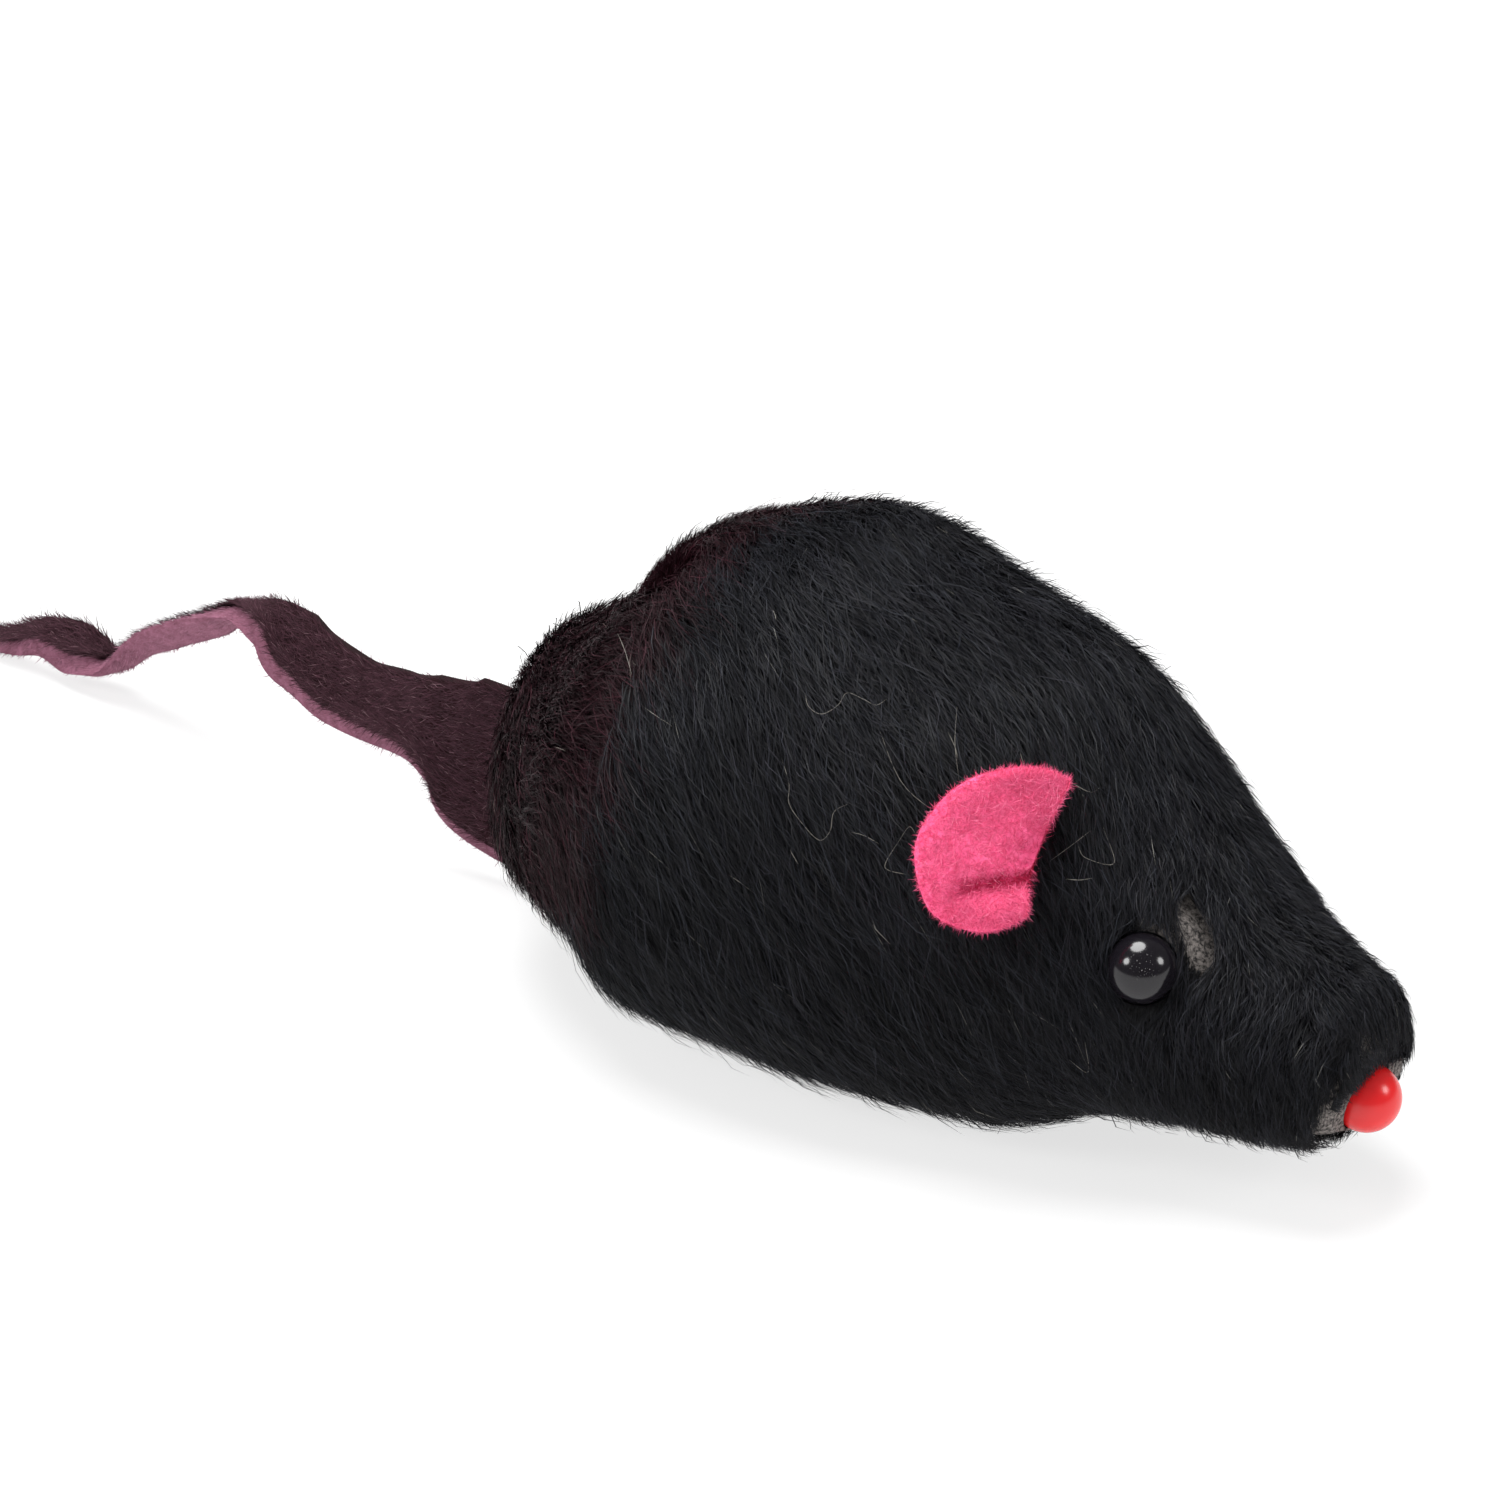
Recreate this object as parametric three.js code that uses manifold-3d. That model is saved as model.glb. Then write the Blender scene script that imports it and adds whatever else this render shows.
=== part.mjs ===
// A small catnip mouse for a cat. A hollow plastic former in two halves holds a bag of catnip and a
// rattle. Dyed pelt is wrapped round it and glued, in a main piece and a rump piece. The eyes and the
// nose are beads, the ears are felt, and the tail is a strip of the same hide. The former's parting
// line clamps the tail's tongue.
// Millimetres, +X to the nose, +Y to the mouse's left, +Z up. The origin is on the flat of the belly.
import * as THREE from 'three';
import { mergeVertices } from 'three/addons/utils/BufferGeometryUtils.js';
import Module from 'manifold-3d';

const wasm = await Module();
wasm.setup();

// Body, measured over the fur
const BODY_LENGTH = 62;
const BODY_WIDTH = 33.5;
const BODY_HEIGHT = 31.5;
const RUMP_REACH = 30.5; // from the origin back to the rump
const BELLY_CUT = 0.5; // how deep the resting face is pressed into the fur
const BODY_SIDES = 32; // points round a body section
const BODY_STATIONS = 28; // sections along the body
const GIRTH_SHARE = 0.42; // height of a section's widest line
const RUMP_ROUND_SHARE = 0.07;
const SNOUT_ROUND_SHARE = 0.045;
const END_SHARE = 0.002; // how near a form's first and last section lie to its ends
const FLANK_FULLNESS = 0.9; // below 1 a flank is fuller than an ellipse
const BELLY_FULLNESS = 0.62;

// Outline of the main pelt, as shares of the body's length, width and height, from rump to snout
const MAIN_OUTLINE = {
  alongShares: [0, 0.05, 0.1, 0.145, 0.205, 0.295, 0.385, 0.47, 0.645, 0.78, 0.89, 1],
  widthShares: [0.44, 0.57, 0.7, 0.79, 0.875, 0.985, 0.99, 0.96, 0.78, 0.585, 0.42, 0.29],
  topShares: [0.485, 0.64, 0.69, 0.755, 0.895, 0.98, 1, 0.95, 0.865, 0.645, 0.49, 0.405],
  bellyShares: [0.18, 0.163, 0.153, 0.14, 0.11, 0, 0, 0, 0, 0.107, 0.116, 0.14],
};

// Outline of the rump pelt, which is tucked in under the main pelt's edge
const RUMP_OUTLINE = {
  alongShares: [0, 0.05, 0.1, 0.145, 0.205, 1],
  widthShares: [0.4, 0.515, 0.66, 0.77, 0.85, 0.85],
  topShares: [0.46, 0.634, 0.663, 0.72, 0.8, 0.8],
  bellyShares: [0.18, 0.163, 0.153, 0.14, 0.11, 0.11],
};

// Pelt: hide and pile together
const PELT_THICKNESS = 3.6;
const SNOUT_PELT_THICKNESS = 1.8; // the fur is clipped short round the nose
const PELT_THINS_SHARE = 0.6; // where along the body the pelt begins to thin
const RUMP_SEAM_SHARE = 0.205;
const SEAM_GAP = 0.35;
const BELLY_SEAM_OFFSET = 6; // the closing seam, to the left of the middle
const BELLY_SEAM_LENGTH = 30;
const MUZZLE_TILT_DEGREES = 25; // how far the cut face round the nose leans from upright
const MUZZLE_HEIGHT_SHARE = 0.208; // height of the nose
const MUZZLE_SETBACK = 1.6; // from the body's front end back to the nose's middle
const MUZZLE_HIDE = 1.2; // hide turned in round the nose

// Plastic former
const GLUE_GAP = 0.3;
const FORMER_WALL = 1.2;
const PARTING_GAP = 0.2;
const FORMER_SIDES = 24;
const FORMER_STATIONS = 20;
const PIN_RADIUS = 0.9;
const PIN_DEPTH = 2; // how far a locating pin reaches into the other half
const BOSS_RADIUS = 2.1;
const FIT_GAP = 0.3; // round every pin, stem and shank
const FRONT_PIN_SHARE = 0.83; // place of the front locating pin along the body
const FRONT_PIN_HEIGHT_SHARE = 0.32;

// Tail clamp in the former's parting line
const CLAMP_LENGTH = 5.5;
const CLAMP_HALF_WIDTH = 3.4;
const TONGUE_HEIGHT = 4;
const TONGUE_MIDDLE_HEIGHT = 11.6;

// Eyes
const EYE_RADIUS = 2;
const EYE_ALONG_SHARE = 0.81;
const RIGHT_EYE_RISE_DEGREES = 32.5; // up a body section from the flank
const LEFT_EYE_RISE_DEGREES = 12; // lower, as the head hides it from the right
const EYE_SINK = 0.9; // from the fur's outline in to the bead's middle
const EYE_RIM_RADIUS = 2.9;
const EYE_RIM_WALL = 0.6;
const EYE_RIM_SINK = 1.1; // from the fur's outline in to the rim's edge
const SHANK_RADIUS = 0.8;
const SHANK_LENGTH = 4.2; // from the bead's middle to the shank's end

// Nose
const NOSE_RADIUS = 2;
const STEM_LENGTH = 6.5; // from the bead's middle to the stem's end
const BEAD_SEGMENTS = 20;
const BEAD_RINGS = 12;
const BORE_SEGMENTS = 20;

// Ears
const EAR_LENGTH = 7.1; // from the root to the ear's outer edge
const EAR_THICKNESS = 1.2;
const EAR_ROOT_WIDTH = 3.4;
const EAR_LIFT = 0.7; // height of the root line over the fur's outline
const EAR_DOME = 0.8; // how far the ear's outer edge falls back
const EAR_CREASE_DROP = 1.3; // from the root's middle down to the crease
const EAR_CREASE_DEGREES = 31; // how far the crease runs down from straight out
const EAR_CREASE_LENGTH = 4.6;
const EAR_LOBE_RISE = 1.2; // how far the lobe under the crease stands forward
const EAR_LOBE_WIDTH = 2.2; // from the crease to where the lobe stands highest
// Where each ear sits: up a body section from the flank, turned out from straight back, and turned
// down over the cheek
const RIGHT_EAR_SEAT = { alongShare: 0.7025, riseDegrees: 43, splayDegrees: 55, droopDegrees: 0 };
const LEFT_EAR_SEAT = { alongShare: 0.66, riseDegrees: 6, splayDegrees: 54, droopDegrees: 55 };
const EAR_SPREAD_DEGREES = 94; // from the ear's middle to each end of its edge
const EAR_STEPS = 8;
const EAR_SIDES = 18;
// The ear's edge from its lower end to its upper end, as shares of its length
const EAR_REACH_SHARES = [0.55, 0.84, 0.98, 0.97, 0.875, 0.775, 0.685, 0.65, 0.62];

// Tail strip
const TAIL_REACH = 49; // from the hinge at the rump to the tip
const TAIL_RISE = 10.7; // height of the tail's crest
const TAIL_SWAY = 3;
const TAIL_ROOT_WIDTH = 12.4;
const TAIL_THICKNESS = 1.2;
const TAIL_BEVEL = 0.9; // the lower edge is cut at a slant, which shows the suede
const TAIL_SETBACK = 2; // from the rump to the hinge
const TAIL_CREST_SHARE = 0.47; // where the tail tip hinges on the tail strip
const TAIL_STEPS = 38;
const HINGE_GAP = 0.3;
const ROUND_STEPS = 3; // sections that round off a hinged end
// Stations of the tail from the rump to the tip. A turn of 1 is upside down.
const TAIL_ROUTE = {
  alongShares: [
    0, 0.06, 0.12, 0.17, 0.25, 0.32, 0.39, 0.45, 0.51, 0.58, 0.65, 0.72, 0.79, 0.84, 0.89, 0.95, 1],
  riseShares: [
    0.69, 0.735, 0.81, 0.82, 0.79, 0.81, 0.905, 1, 0.96, 0.785, 0.62, 0.43, 0.19, 0.22, 0.24, 0.15, 0.09],
  swayShares: [
    -0.3, -0.33, -0.3, -0.17, 0, 0.13, 0.3, 0.43, 0.63, 0.8, 0.87, 0.97, 1, 1, 0.93, 0.87, 0.8],
  widthShares: [
    1, 0.93, 0.62, 0.48, 0.435, 0.45, 0.425, 0.265, 0.18, 0.28, 0.255, 0.235, 0.25, 0.3, 0.225, 0.14, 0.1],
  turnShares: [
    0, 0.01, 0.03, 0.05, 0.07, 0.1, 0.15, 0.3, 0.575, 0.725, 0.75, 0.71, 0.525, 0.3, 0.25, 0.275, 0.335],
};

// Catnip bag and rattle
const CONTENT_GAP = 0.3;
const POUCH_LENGTH = 22;
const DRUM_RADIUS = 5;
const DRUM_LENGTH = 9.6;
const DRUM_WALL = 0.8;
const DRUM_SETBACK = 4.9; // from the eyes' place along the body back to the lid
const DRUM_HEIGHT_SHARE = 0.378;
const LID_THICKNESS = 1;
const LID_GAP = 0.3; // between the drum's edge and the lid
const LID_PLUG = 1;
const RIB_THICKNESS = 1.2;
const RIB_SOUND_RADIUS = 2.4;
const BALL_RADIUS = 1.2;
const BALL_SPREAD_DEGREES = 62; // round the drum from one ball to the next
const DRUM_SEGMENTS = 28;

const CUT_OVER = 2; // how far a cutting tool runs past what it cuts
const WELD = 1e-4; // points nearer than this are one point

const X = new THREE.Vector3(1, 0, 0);
const Y = new THREE.Vector3(0, 1, 0);
const Z = new THREE.Vector3(0, 0, 1);
const { degToRad, clamp, smoothstep, lerp } = THREE.MathUtils;

const furHide = new THREE.MeshStandardMaterial({ color: 0x101115, roughness: 0.95, metalness: 0 });
const rumpHide = new THREE.MeshStandardMaterial({ color: 0x1d1216, roughness: 0.95, metalness: 0 });
const tailHide = new THREE.MeshStandardMaterial({ color: 0x2b1a20, roughness: 0.85, metalness: 0 });
const blackPlastic = new THREE.MeshStandardMaterial({ color: 0x0a0a0b, roughness: 0.35, metalness: 0 });
const blackBead = new THREE.MeshStandardMaterial({ color: 0x08080a, roughness: 0.08, metalness: 0 });
const redBead = new THREE.MeshStandardMaterial({ color: 0xc62a26, roughness: 0.22, metalness: 0 });
const pinkFelt = new THREE.MeshStandardMaterial({ color: 0xe2527f, roughness: 0.95, metalness: 0 });
const muslin = new THREE.MeshStandardMaterial({ color: 0xcfc6ad, roughness: 0.95, metalness: 0 });
const clearPlastic = new THREE.MeshStandardMaterial({ color: 0xd8dadd, roughness: 0.3, metalness: 0 });
const steel = new THREE.MeshStandardMaterial({ color: 0xb8babd, roughness: 0.3, metalness: 1 });

/** A smooth curve through shares: a cubic between neighbours, flat at each high and low. */
function shareAt(places, shares, t) {
  const last = places.length - 1;
  const slope = (i) => (shares[i + 1] - shares[i]) / (places[i + 1] - places[i]);
  const tangent = (i) => {
    if (i === 0) return slope(0);
    if (i === last) return slope(last - 1);
    const before = slope(i - 1);
    const after = slope(i);
    return before * after <= 0 ? 0 : (2 * before * after) / (before + after);
  };
  let i = 0;
  while (i < last - 1 && t > places[i + 1]) i++;
  const span = places[i + 1] - places[i];
  const s = clamp((t - places[i]) / span, 0, 1);
  const from = (1 + 2 * s) * (1 - s) ** 2 * shares[i] + s * (1 - s) ** 2 * span * tangent(i);
  const to = s * s * (3 - 2 * s) * shares[i + 1] + s * s * (s - 1) * span * tangent(i + 1);
  return from + to;
}

const alongBody = (share) => share * BODY_LENGTH - RUMP_REACH;

/** How far a layer lies inside the fur's outline: the pelt thins towards the snout, the rest doesn't. */
function depthAt(t, inset) {
  const pelt = Math.min(inset, PELT_THICKNESS);
  const thin = (SNOUT_PELT_THICKNESS / PELT_THICKNESS) * pelt;
  return lerp(pelt, thin, smoothstep(t, PELT_THINS_SHARE, 1)) + inset - pelt;
}

/** One body section at share t, drawn in by depth all round. */
function sectionAt(outline, t, depth) {
  const roundOff = (edge) => Math.sqrt(Math.max(0, 1 - (1 - Math.min(1, edge)) ** 2));
  const ends = roundOff(t / RUMP_ROUND_SHARE) * roundOff((1 - t) / SNOUT_ROUND_SHARE);
  const at = (shares) => shareAt(outline.alongShares, shares, t);
  const top = at(outline.topShares) * BODY_HEIGHT;
  const belly = at(outline.bellyShares) * BODY_HEIGHT - BELLY_CUT;
  const girth = belly + GIRTH_SHARE * (top - belly);
  return {
    girth,
    half: Math.max(0, (ends * at(outline.widthShares) * BODY_WIDTH) / 2 - depth),
    above: Math.max(0, ends * (top - girth) - depth),
    below: Math.max(0, ends * (girth - belly) - depth),
  };
}

/** The point of a section at an angle: 0 is the left flank, a quarter turn is the spine. */
function sectionPoint(outline, t, angle, depth = 0) {
  const section = sectionAt(outline, t, depth);
  const across = Math.cos(angle);
  const upward = Math.sin(angle);
  const y = section.half * Math.sign(across) * Math.abs(across) ** FLANK_FULLNESS;
  const drop = -section.below * Math.abs(upward) ** BELLY_FULLNESS;
  return new THREE.Vector3(alongBody(t), y, section.girth + (upward > 0 ? section.above * upward : drop));
}

/** A point on the right side of the main pelt, with the way out and the way up the fur there. */
function rightSide(t, degrees) {
  const angle = Math.PI - degToRad(degrees);
  const point = sectionPoint(MAIN_OUTLINE, t, angle);
  const up = sectionPoint(MAIN_OUTLINE, t, angle - END_SHARE).sub(point).normalize();
  const ahead = sectionPoint(MAIN_OUTLINE, t + END_SHARE, angle).sub(point).normalize();
  return { point, up, out: ahead.cross(up).normalize() };
}

/** Closed geometry through rings of equal size. A sheet's rings run along one face and back along
 *  the other, and its ends are closed across the sheet; other ends are closed to their middle. */
function loft(rings, isSheet = false) {
  const n = rings[0].length;
  const points = rings.flat();
  const index = [];
  for (let i = 0; i < rings.length - 1; i++) {
    for (let j = 0; j < n; j++) {
      const a = i * n + j;
      const b = i * n + ((j + 1) % n);
      index.push(a, b, b + n, a, b + n, a + n);
    }
  }
  const last = (rings.length - 1) * n;
  if (isSheet) {
    for (let j = 0; j < n / 2 - 1; j++) {
      const k = n - 1 - j;
      index.push(j, k, k - 1, j, k - 1, j + 1);
      index.push(last + j, last + k - 1, last + k, last + j, last + j + 1, last + k - 1);
    }
  } else {
    const middle = (ring) => ring.reduce((sum, p) => sum.add(p), new THREE.Vector3()).divideScalar(n);
    points.push(middle(rings[0]), middle(rings.at(-1)));
    for (let j = 0; j < n; j++) {
      const k = (j + 1) % n;
      index.push(points.length - 2, k, j, points.length - 1, last + j, last + k);
    }
  }
  const made = new THREE.BufferGeometry().setFromPoints(points);
  made.setIndex(index);
  return made;
}

function toSolid(geometry) {
  const bare = geometry.clone();
  bare.deleteAttribute('normal');
  bare.deleteAttribute('uv');
  const merged = mergeVertices(bare, WELD);
  return new wasm.Manifold(new wasm.Mesh({
    numProp: 3,
    vertProperties: merged.attributes.position.array,
    triVerts: new Uint32Array(merged.index.array),
  }));
}

function toGeometry(solid) {
  const mesh = solid.getMesh();
  const made = new THREE.BufferGeometry();
  made.setAttribute('position', new THREE.BufferAttribute(mesh.vertProperties, 3));
  made.setIndex(new THREE.BufferAttribute(mesh.triVerts, 1));
  return made;
}

/** The body's form as a solid, drawn in by inset. */
function bodySolid(outline, inset, sides = FORMER_SIDES, stations = FORMER_STATIONS) {
  const rings = [];
  const start = END_SHARE + inset / BODY_LENGTH;
  const end = 1 - END_SHARE - depthAt(1, inset) / BODY_LENGTH;
  for (let i = 0; i <= stations; i++) {
    const t = lerp(start, end, 0.5 - 0.5 * Math.cos((Math.PI * i) / stations));
    const ring = [];
    for (let j = 0; j < sides; j++) {
      ring.push(sectionPoint(outline, t, (2 * Math.PI * j) / sides, depthAt(t, inset)));
    }
    rings.push(ring);
  }
  return toSolid(loft(rings));
}

/** A box from its two corners. */
function boxSolid(low, high) {
  const size = high.clone().sub(low);
  const box = new THREE.BoxGeometry(size.x, size.y, size.z);
  box.translate(...low.clone().add(high).divideScalar(2).toArray());
  return toSolid(box);
}

/** A round bar between two points. */
function barSolid(from, to, radius, segments = BORE_SEGMENTS) {
  const along = to.clone().sub(from);
  const bar = new THREE.CylinderGeometry(radius, radius, along.length(), segments);
  bar.applyQuaternion(new THREE.Quaternion().setFromUnitVectors(Y, along.clone().normalize()));
  bar.translate(...from.clone().add(to).divideScalar(2).toArray());
  return toSolid(bar);
}

function ballSolid(centre, radius) {
  const ball = new THREE.SphereGeometry(radius, BEAD_SEGMENTS, BEAD_RINGS);
  ball.translate(...centre.toArray());
  return toSolid(ball);
}

/** The same geometry on the mouse's other side. */
function mirrored(geometry) {
  const made = geometry.clone().scale(1, -1, 1);
  const index = made.index.array;
  for (let i = 0; i < index.length; i += 3) [index[i], index[i + 1]] = [index[i + 1], index[i]];
  return made;
}

const mouse = new THREE.Group();
function place(name, geometry, material) {
  const mesh = new THREE.Mesh(geometry, material);
  mesh.name = name;
  mouse.add(mesh);
}

// Block that holds everything on one side of a plane across the body
const far = BODY_LENGTH + TAIL_REACH;
const slab = (fromX, toX) => boxSolid(
  new THREE.Vector3(fromX, -far, -far), new THREE.Vector3(toX, far, far));

// Muzzle: the cut face that the nose sits in, and the way out of it
const muzzle = new THREE.Vector3(alongBody(1) - MUZZLE_SETBACK, 0, MUZZLE_HEIGHT_SHARE * BODY_HEIGHT);
const muzzleOut = X.clone().applyAxisAngle(Y, degToRad(MUZZLE_TILT_DEGREES));
function behindMuzzle(depth) {
  const block = new THREE.BoxGeometry(far, far, far);
  block.translate(-far / 2 - depth, 0, 0);
  block.applyQuaternion(new THREE.Quaternion().setFromUnitVectors(X, muzzleOut));
  block.translate(...muzzle.toArray());
  return toSolid(block);
}

// An eye's line, as it would lie on the right: the point at a depth inside the fur's outline
function eyeLine(rise) {
  const { point, out } = rightSide(EYE_ALONG_SHARE, rise);
  return (depth) => point.clone().addScaledVector(out, -depth);
}
const rightEye = eyeLine(RIGHT_EYE_RISE_DEGREES);
const leftEye = eyeLine(LEFT_EYE_RISE_DEGREES);

// A right-hand solid moved to the left, and one solid made for each eye
const onLeft = (solid) => toSolid(mirrored(toGeometry(solid)));
const atEyes = (make) => make(rightEye).add(onLeft(make(leftEye)));

// Tail route: a station's place and the directions of its width and its dark face
const tailRootX = -RUMP_REACH - TAIL_SETBACK;
function tailPoint(t) {
  const at = (shares) => shareAt(TAIL_ROUTE.alongShares, shares, t);
  return new THREE.Vector3(
    tailRootX - t * TAIL_REACH,
    at(TAIL_ROUTE.swayShares) * TAIL_SWAY,
    at(TAIL_ROUTE.riseShares) * TAIL_RISE,
  );
}
function tailStation(t) {
  const centre = tailPoint(t);
  const before = tailPoint(Math.max(0, t - END_SHARE));
  const ahead = tailPoint(Math.min(1, t + END_SHARE)).sub(before).normalize();
  if (t === 0) ahead.copy(X).negate();
  const turn = shareAt(TAIL_ROUTE.alongShares, TAIL_ROUTE.turnShares, t) * Math.PI;
  const upright = new THREE.Vector3(0, Math.sin(turn), Math.cos(turn));
  const wide = upright.addScaledVector(ahead, -upright.dot(ahead)).normalize();
  const width = shareAt(TAIL_ROUTE.alongShares, TAIL_ROUTE.widthShares, t) * TAIL_ROOT_WIDTH;
  return { centre, ahead, wide, face: wide.clone().cross(ahead).normalize(), half: width / 2 };
}

/** The strip's outline at a station, moved by shift along the tail and thinned by a share. */
function tailRing(station, shift = 0, thin = 1) {
  const { centre, ahead, wide, face, half } = station;
  const deep = (TAIL_THICKNESS / 2) * thin;
  const bevel = Math.min(TAIL_BEVEL, half) * thin;
  const corner = (across, out) => centre.clone().addScaledVector(ahead, shift)
    .addScaledVector(wide, across).addScaledVector(face, out);
  return [corner(half, -deep), corner(-half, -deep), corner(bevel - half, deep), corner(half, deep)];
}

/** A stretch of the tail, with a rounded end at its hinge. */
function tailStretch(fromShare, toShare, steps) {
  const first = tailStation(fromShare);
  const rings = [];
  for (let i = 0; i < ROUND_STEPS; i++) {
    const turn = (Math.PI / 2) * (1 - (i + 0.5) / ROUND_STEPS);
    rings.push(tailRing(first, (-TAIL_THICKNESS / 2) * Math.sin(turn), Math.cos(turn)));
  }
  for (let i = 0; i <= steps; i++) {
    rings.push(tailRing(tailStation(lerp(fromShare, toShare, i / steps))));
  }
  return loft(rings, true);
}

// Former, whole
const formerInset = PELT_THICKNESS + GLUE_GAP;
const formerOuter = bodySolid(MAIN_OUTLINE, formerInset).intersect(behindMuzzle(MUZZLE_HIDE + GLUE_GAP));
const formerInner = bodySolid(MAIN_OUTLINE, formerInset + FORMER_WALL)
  .intersect(behindMuzzle(MUZZLE_HIDE + GLUE_GAP + FORMER_WALL));
const clampBack = alongBody(formerInset / BODY_LENGTH);
const clampFront = clampBack + CLAMP_LENGTH;
const drumFront = alongBody(EYE_ALONG_SHARE) - DRUM_SETBACK;
const drumBack = drumFront - LID_THICKNESS - DRUM_LENGTH;
const drumMiddle = new THREE.Vector3(drumBack + DRUM_LENGTH / 2, 0, DRUM_HEIGHT_SHARE * BODY_HEIGHT);
const frontPin = new THREE.Vector3(alongBody(FRONT_PIN_SHARE), 0, FRONT_PIN_HEIGHT_SHARE * BODY_HEIGHT);
const clampPin = new THREE.Vector3(clampBack + (CLAMP_LENGTH + FORMER_WALL) / 2, 0, TONGUE_MIDDLE_HEIGHT);
const stemEnd = muzzle.clone().addScaledVector(muzzleOut, -STEM_LENGTH);

const across = (point, fromY, toY, radius) => barSolid(
  point.clone().setY(fromY), point.clone().setY(toY), radius);
const drumBar = (radius, fromX, toX, segments) => barSolid(
  drumMiddle.clone().setX(fromX), drumMiddle.clone().setX(toX), radius, segments);

function ribSolid(fromX, bore) {
  const hole = drumBar(bore, fromX - CUT_OVER, fromX + RIB_THICKNESS + CUT_OVER);
  return slab(fromX, fromX + RIB_THICKNESS).subtract(hole);
}

function formerWhole() {
  const shankBoss = SHANK_RADIUS + FIT_GAP + FORMER_WALL;
  const inside = [
    ribSolid(drumBack - FIT_GAP - RIB_THICKNESS, RIB_SOUND_RADIUS),
    ribSolid(drumMiddle.x - RIB_THICKNESS / 2, DRUM_RADIUS + FIT_GAP),
    ribSolid(drumFront + FIT_GAP, RIB_SOUND_RADIUS),
    boxSolid(
      new THREE.Vector3(clampBack - CUT_OVER, -CLAMP_HALF_WIDTH, -CUT_OVER),
      new THREE.Vector3(clampFront, CLAMP_HALF_WIDTH, BODY_HEIGHT)),
    across(frontPin, -BODY_WIDTH, BODY_WIDTH, BOSS_RADIUS),
    barSolid(muzzle, stemEnd, BOSS_RADIUS),
    atEyes((eye) => barSolid(eye(EYE_SINK), eye(EYE_SINK + SHANK_LENGTH), shankBoss)),
  ];
  let whole = formerOuter.subtract(formerInner);
  for (const piece of inside) whole = whole.add(piece.intersect(formerOuter));
  const rimFoot = formerInset + FORMER_WALL / 2;
  const rims = atEyes((eye) => barSolid(eye(EYE_RIM_SINK), eye(rimFoot), EYE_RIM_RADIUS));
  const eyeSeats = atEyes((eye) => ballSolid(eye(EYE_SINK), EYE_RADIUS + FIT_GAP)
    .add(barSolid(eye(-CUT_OVER), eye(EYE_SINK), EYE_RIM_RADIUS - EYE_RIM_WALL))
    .add(barSolid(eye(EYE_SINK), eye(EYE_SINK + SHANK_LENGTH + FIT_GAP), SHANK_RADIUS + FIT_GAP)));
  const stemBore = barSolid(
    muzzle, stemEnd.clone().addScaledVector(muzzleOut, -FIT_GAP), SHANK_RADIUS + FIT_GAP);
  const slot = TAIL_THICKNESS / 2 + FIT_GAP;
  const tailSlot = boxSolid(
    new THREE.Vector3(clampBack - CUT_OVER, -slot, TONGUE_MIDDLE_HEIGHT - TONGUE_HEIGHT / 2 - FIT_GAP),
    new THREE.Vector3(clampFront + FIT_GAP, slot, TONGUE_MIDDLE_HEIGHT + TONGUE_HEIGHT / 2 + FIT_GAP));
  return whole.add(rims)
    .subtract(eyeSeats)
    .subtract(ballSolid(muzzle, NOSE_RADIUS + FIT_GAP))
    .subtract(stemBore)
    .subtract(tailSlot);
}

const former = formerWhole();
const half = PARTING_GAP / 2;
const leftHalf = boxSolid(new THREE.Vector3(-far, half, -far), new THREE.Vector3(far, far, far));
const rightHalf = boxSolid(new THREE.Vector3(-far, -far, -far), new THREE.Vector3(far, -half, far));
let formerLeft = former.intersect(leftHalf);
let formerRight = former.intersect(rightHalf);
for (const pin of [frontPin, clampPin]) {
  formerLeft = formerLeft.add(across(pin, -half - PIN_DEPTH, half + PIN_DEPTH, PIN_RADIUS));
  const pinHole = across(pin, half - PIN_DEPTH - CUT_OVER, CUT_OVER, PIN_RADIUS + FIT_GAP);
  formerRight = formerRight.subtract(pinHole);
}
place('core_shell_left', toGeometry(formerLeft), blackPlastic);
place('core_shell_right', toGeometry(formerRight), blackPlastic);

// Pelt
const belowFloor = boxSolid(new THREE.Vector3(-far, -far, -far), new THREE.Vector3(far, far, 0));
const wrapped = bodySolid(MAIN_OUTLINE, PELT_THICKNESS).intersect(behindMuzzle(MUZZLE_HIDE));
const seamX = alongBody(RUMP_SEAM_SHARE);

/** Where an ear sits: its root's middle, and the ways out, up its root line and to its open side. */
function earSeatAt({ alongShare, riseDegrees, splayDegrees, droopDegrees }) {
  const { point, out: furOut, up } = rightSide(alongShare, riseDegrees);
  point.addScaledVector(furOut, EAR_LIFT);
  const out = X.clone().negate().applyAxisAngle(Z, degToRad(splayDegrees));
  out.addScaledVector(up, -out.dot(up)).normalize();
  out.applyAxisAngle(furOut, degToRad(droopDegrees));
  up.applyAxisAngle(furOut, degToRad(droopDegrees));
  return { point, out, up, open: up.clone().cross(out) };
}
const rightEar = earSeatAt(RIGHT_EAR_SEAT);
const leftEar = earSeatAt(LEFT_EAR_SEAT);
function earGroove({ point, up }) {
  const reach = EAR_ROOT_WIDTH / 2 + FIT_GAP;
  return barSolid(
    point.clone().addScaledVector(up, -reach), point.clone().addScaledVector(up, reach),
    EAR_THICKNESS / 2 + FIT_GAP);
}

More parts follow.
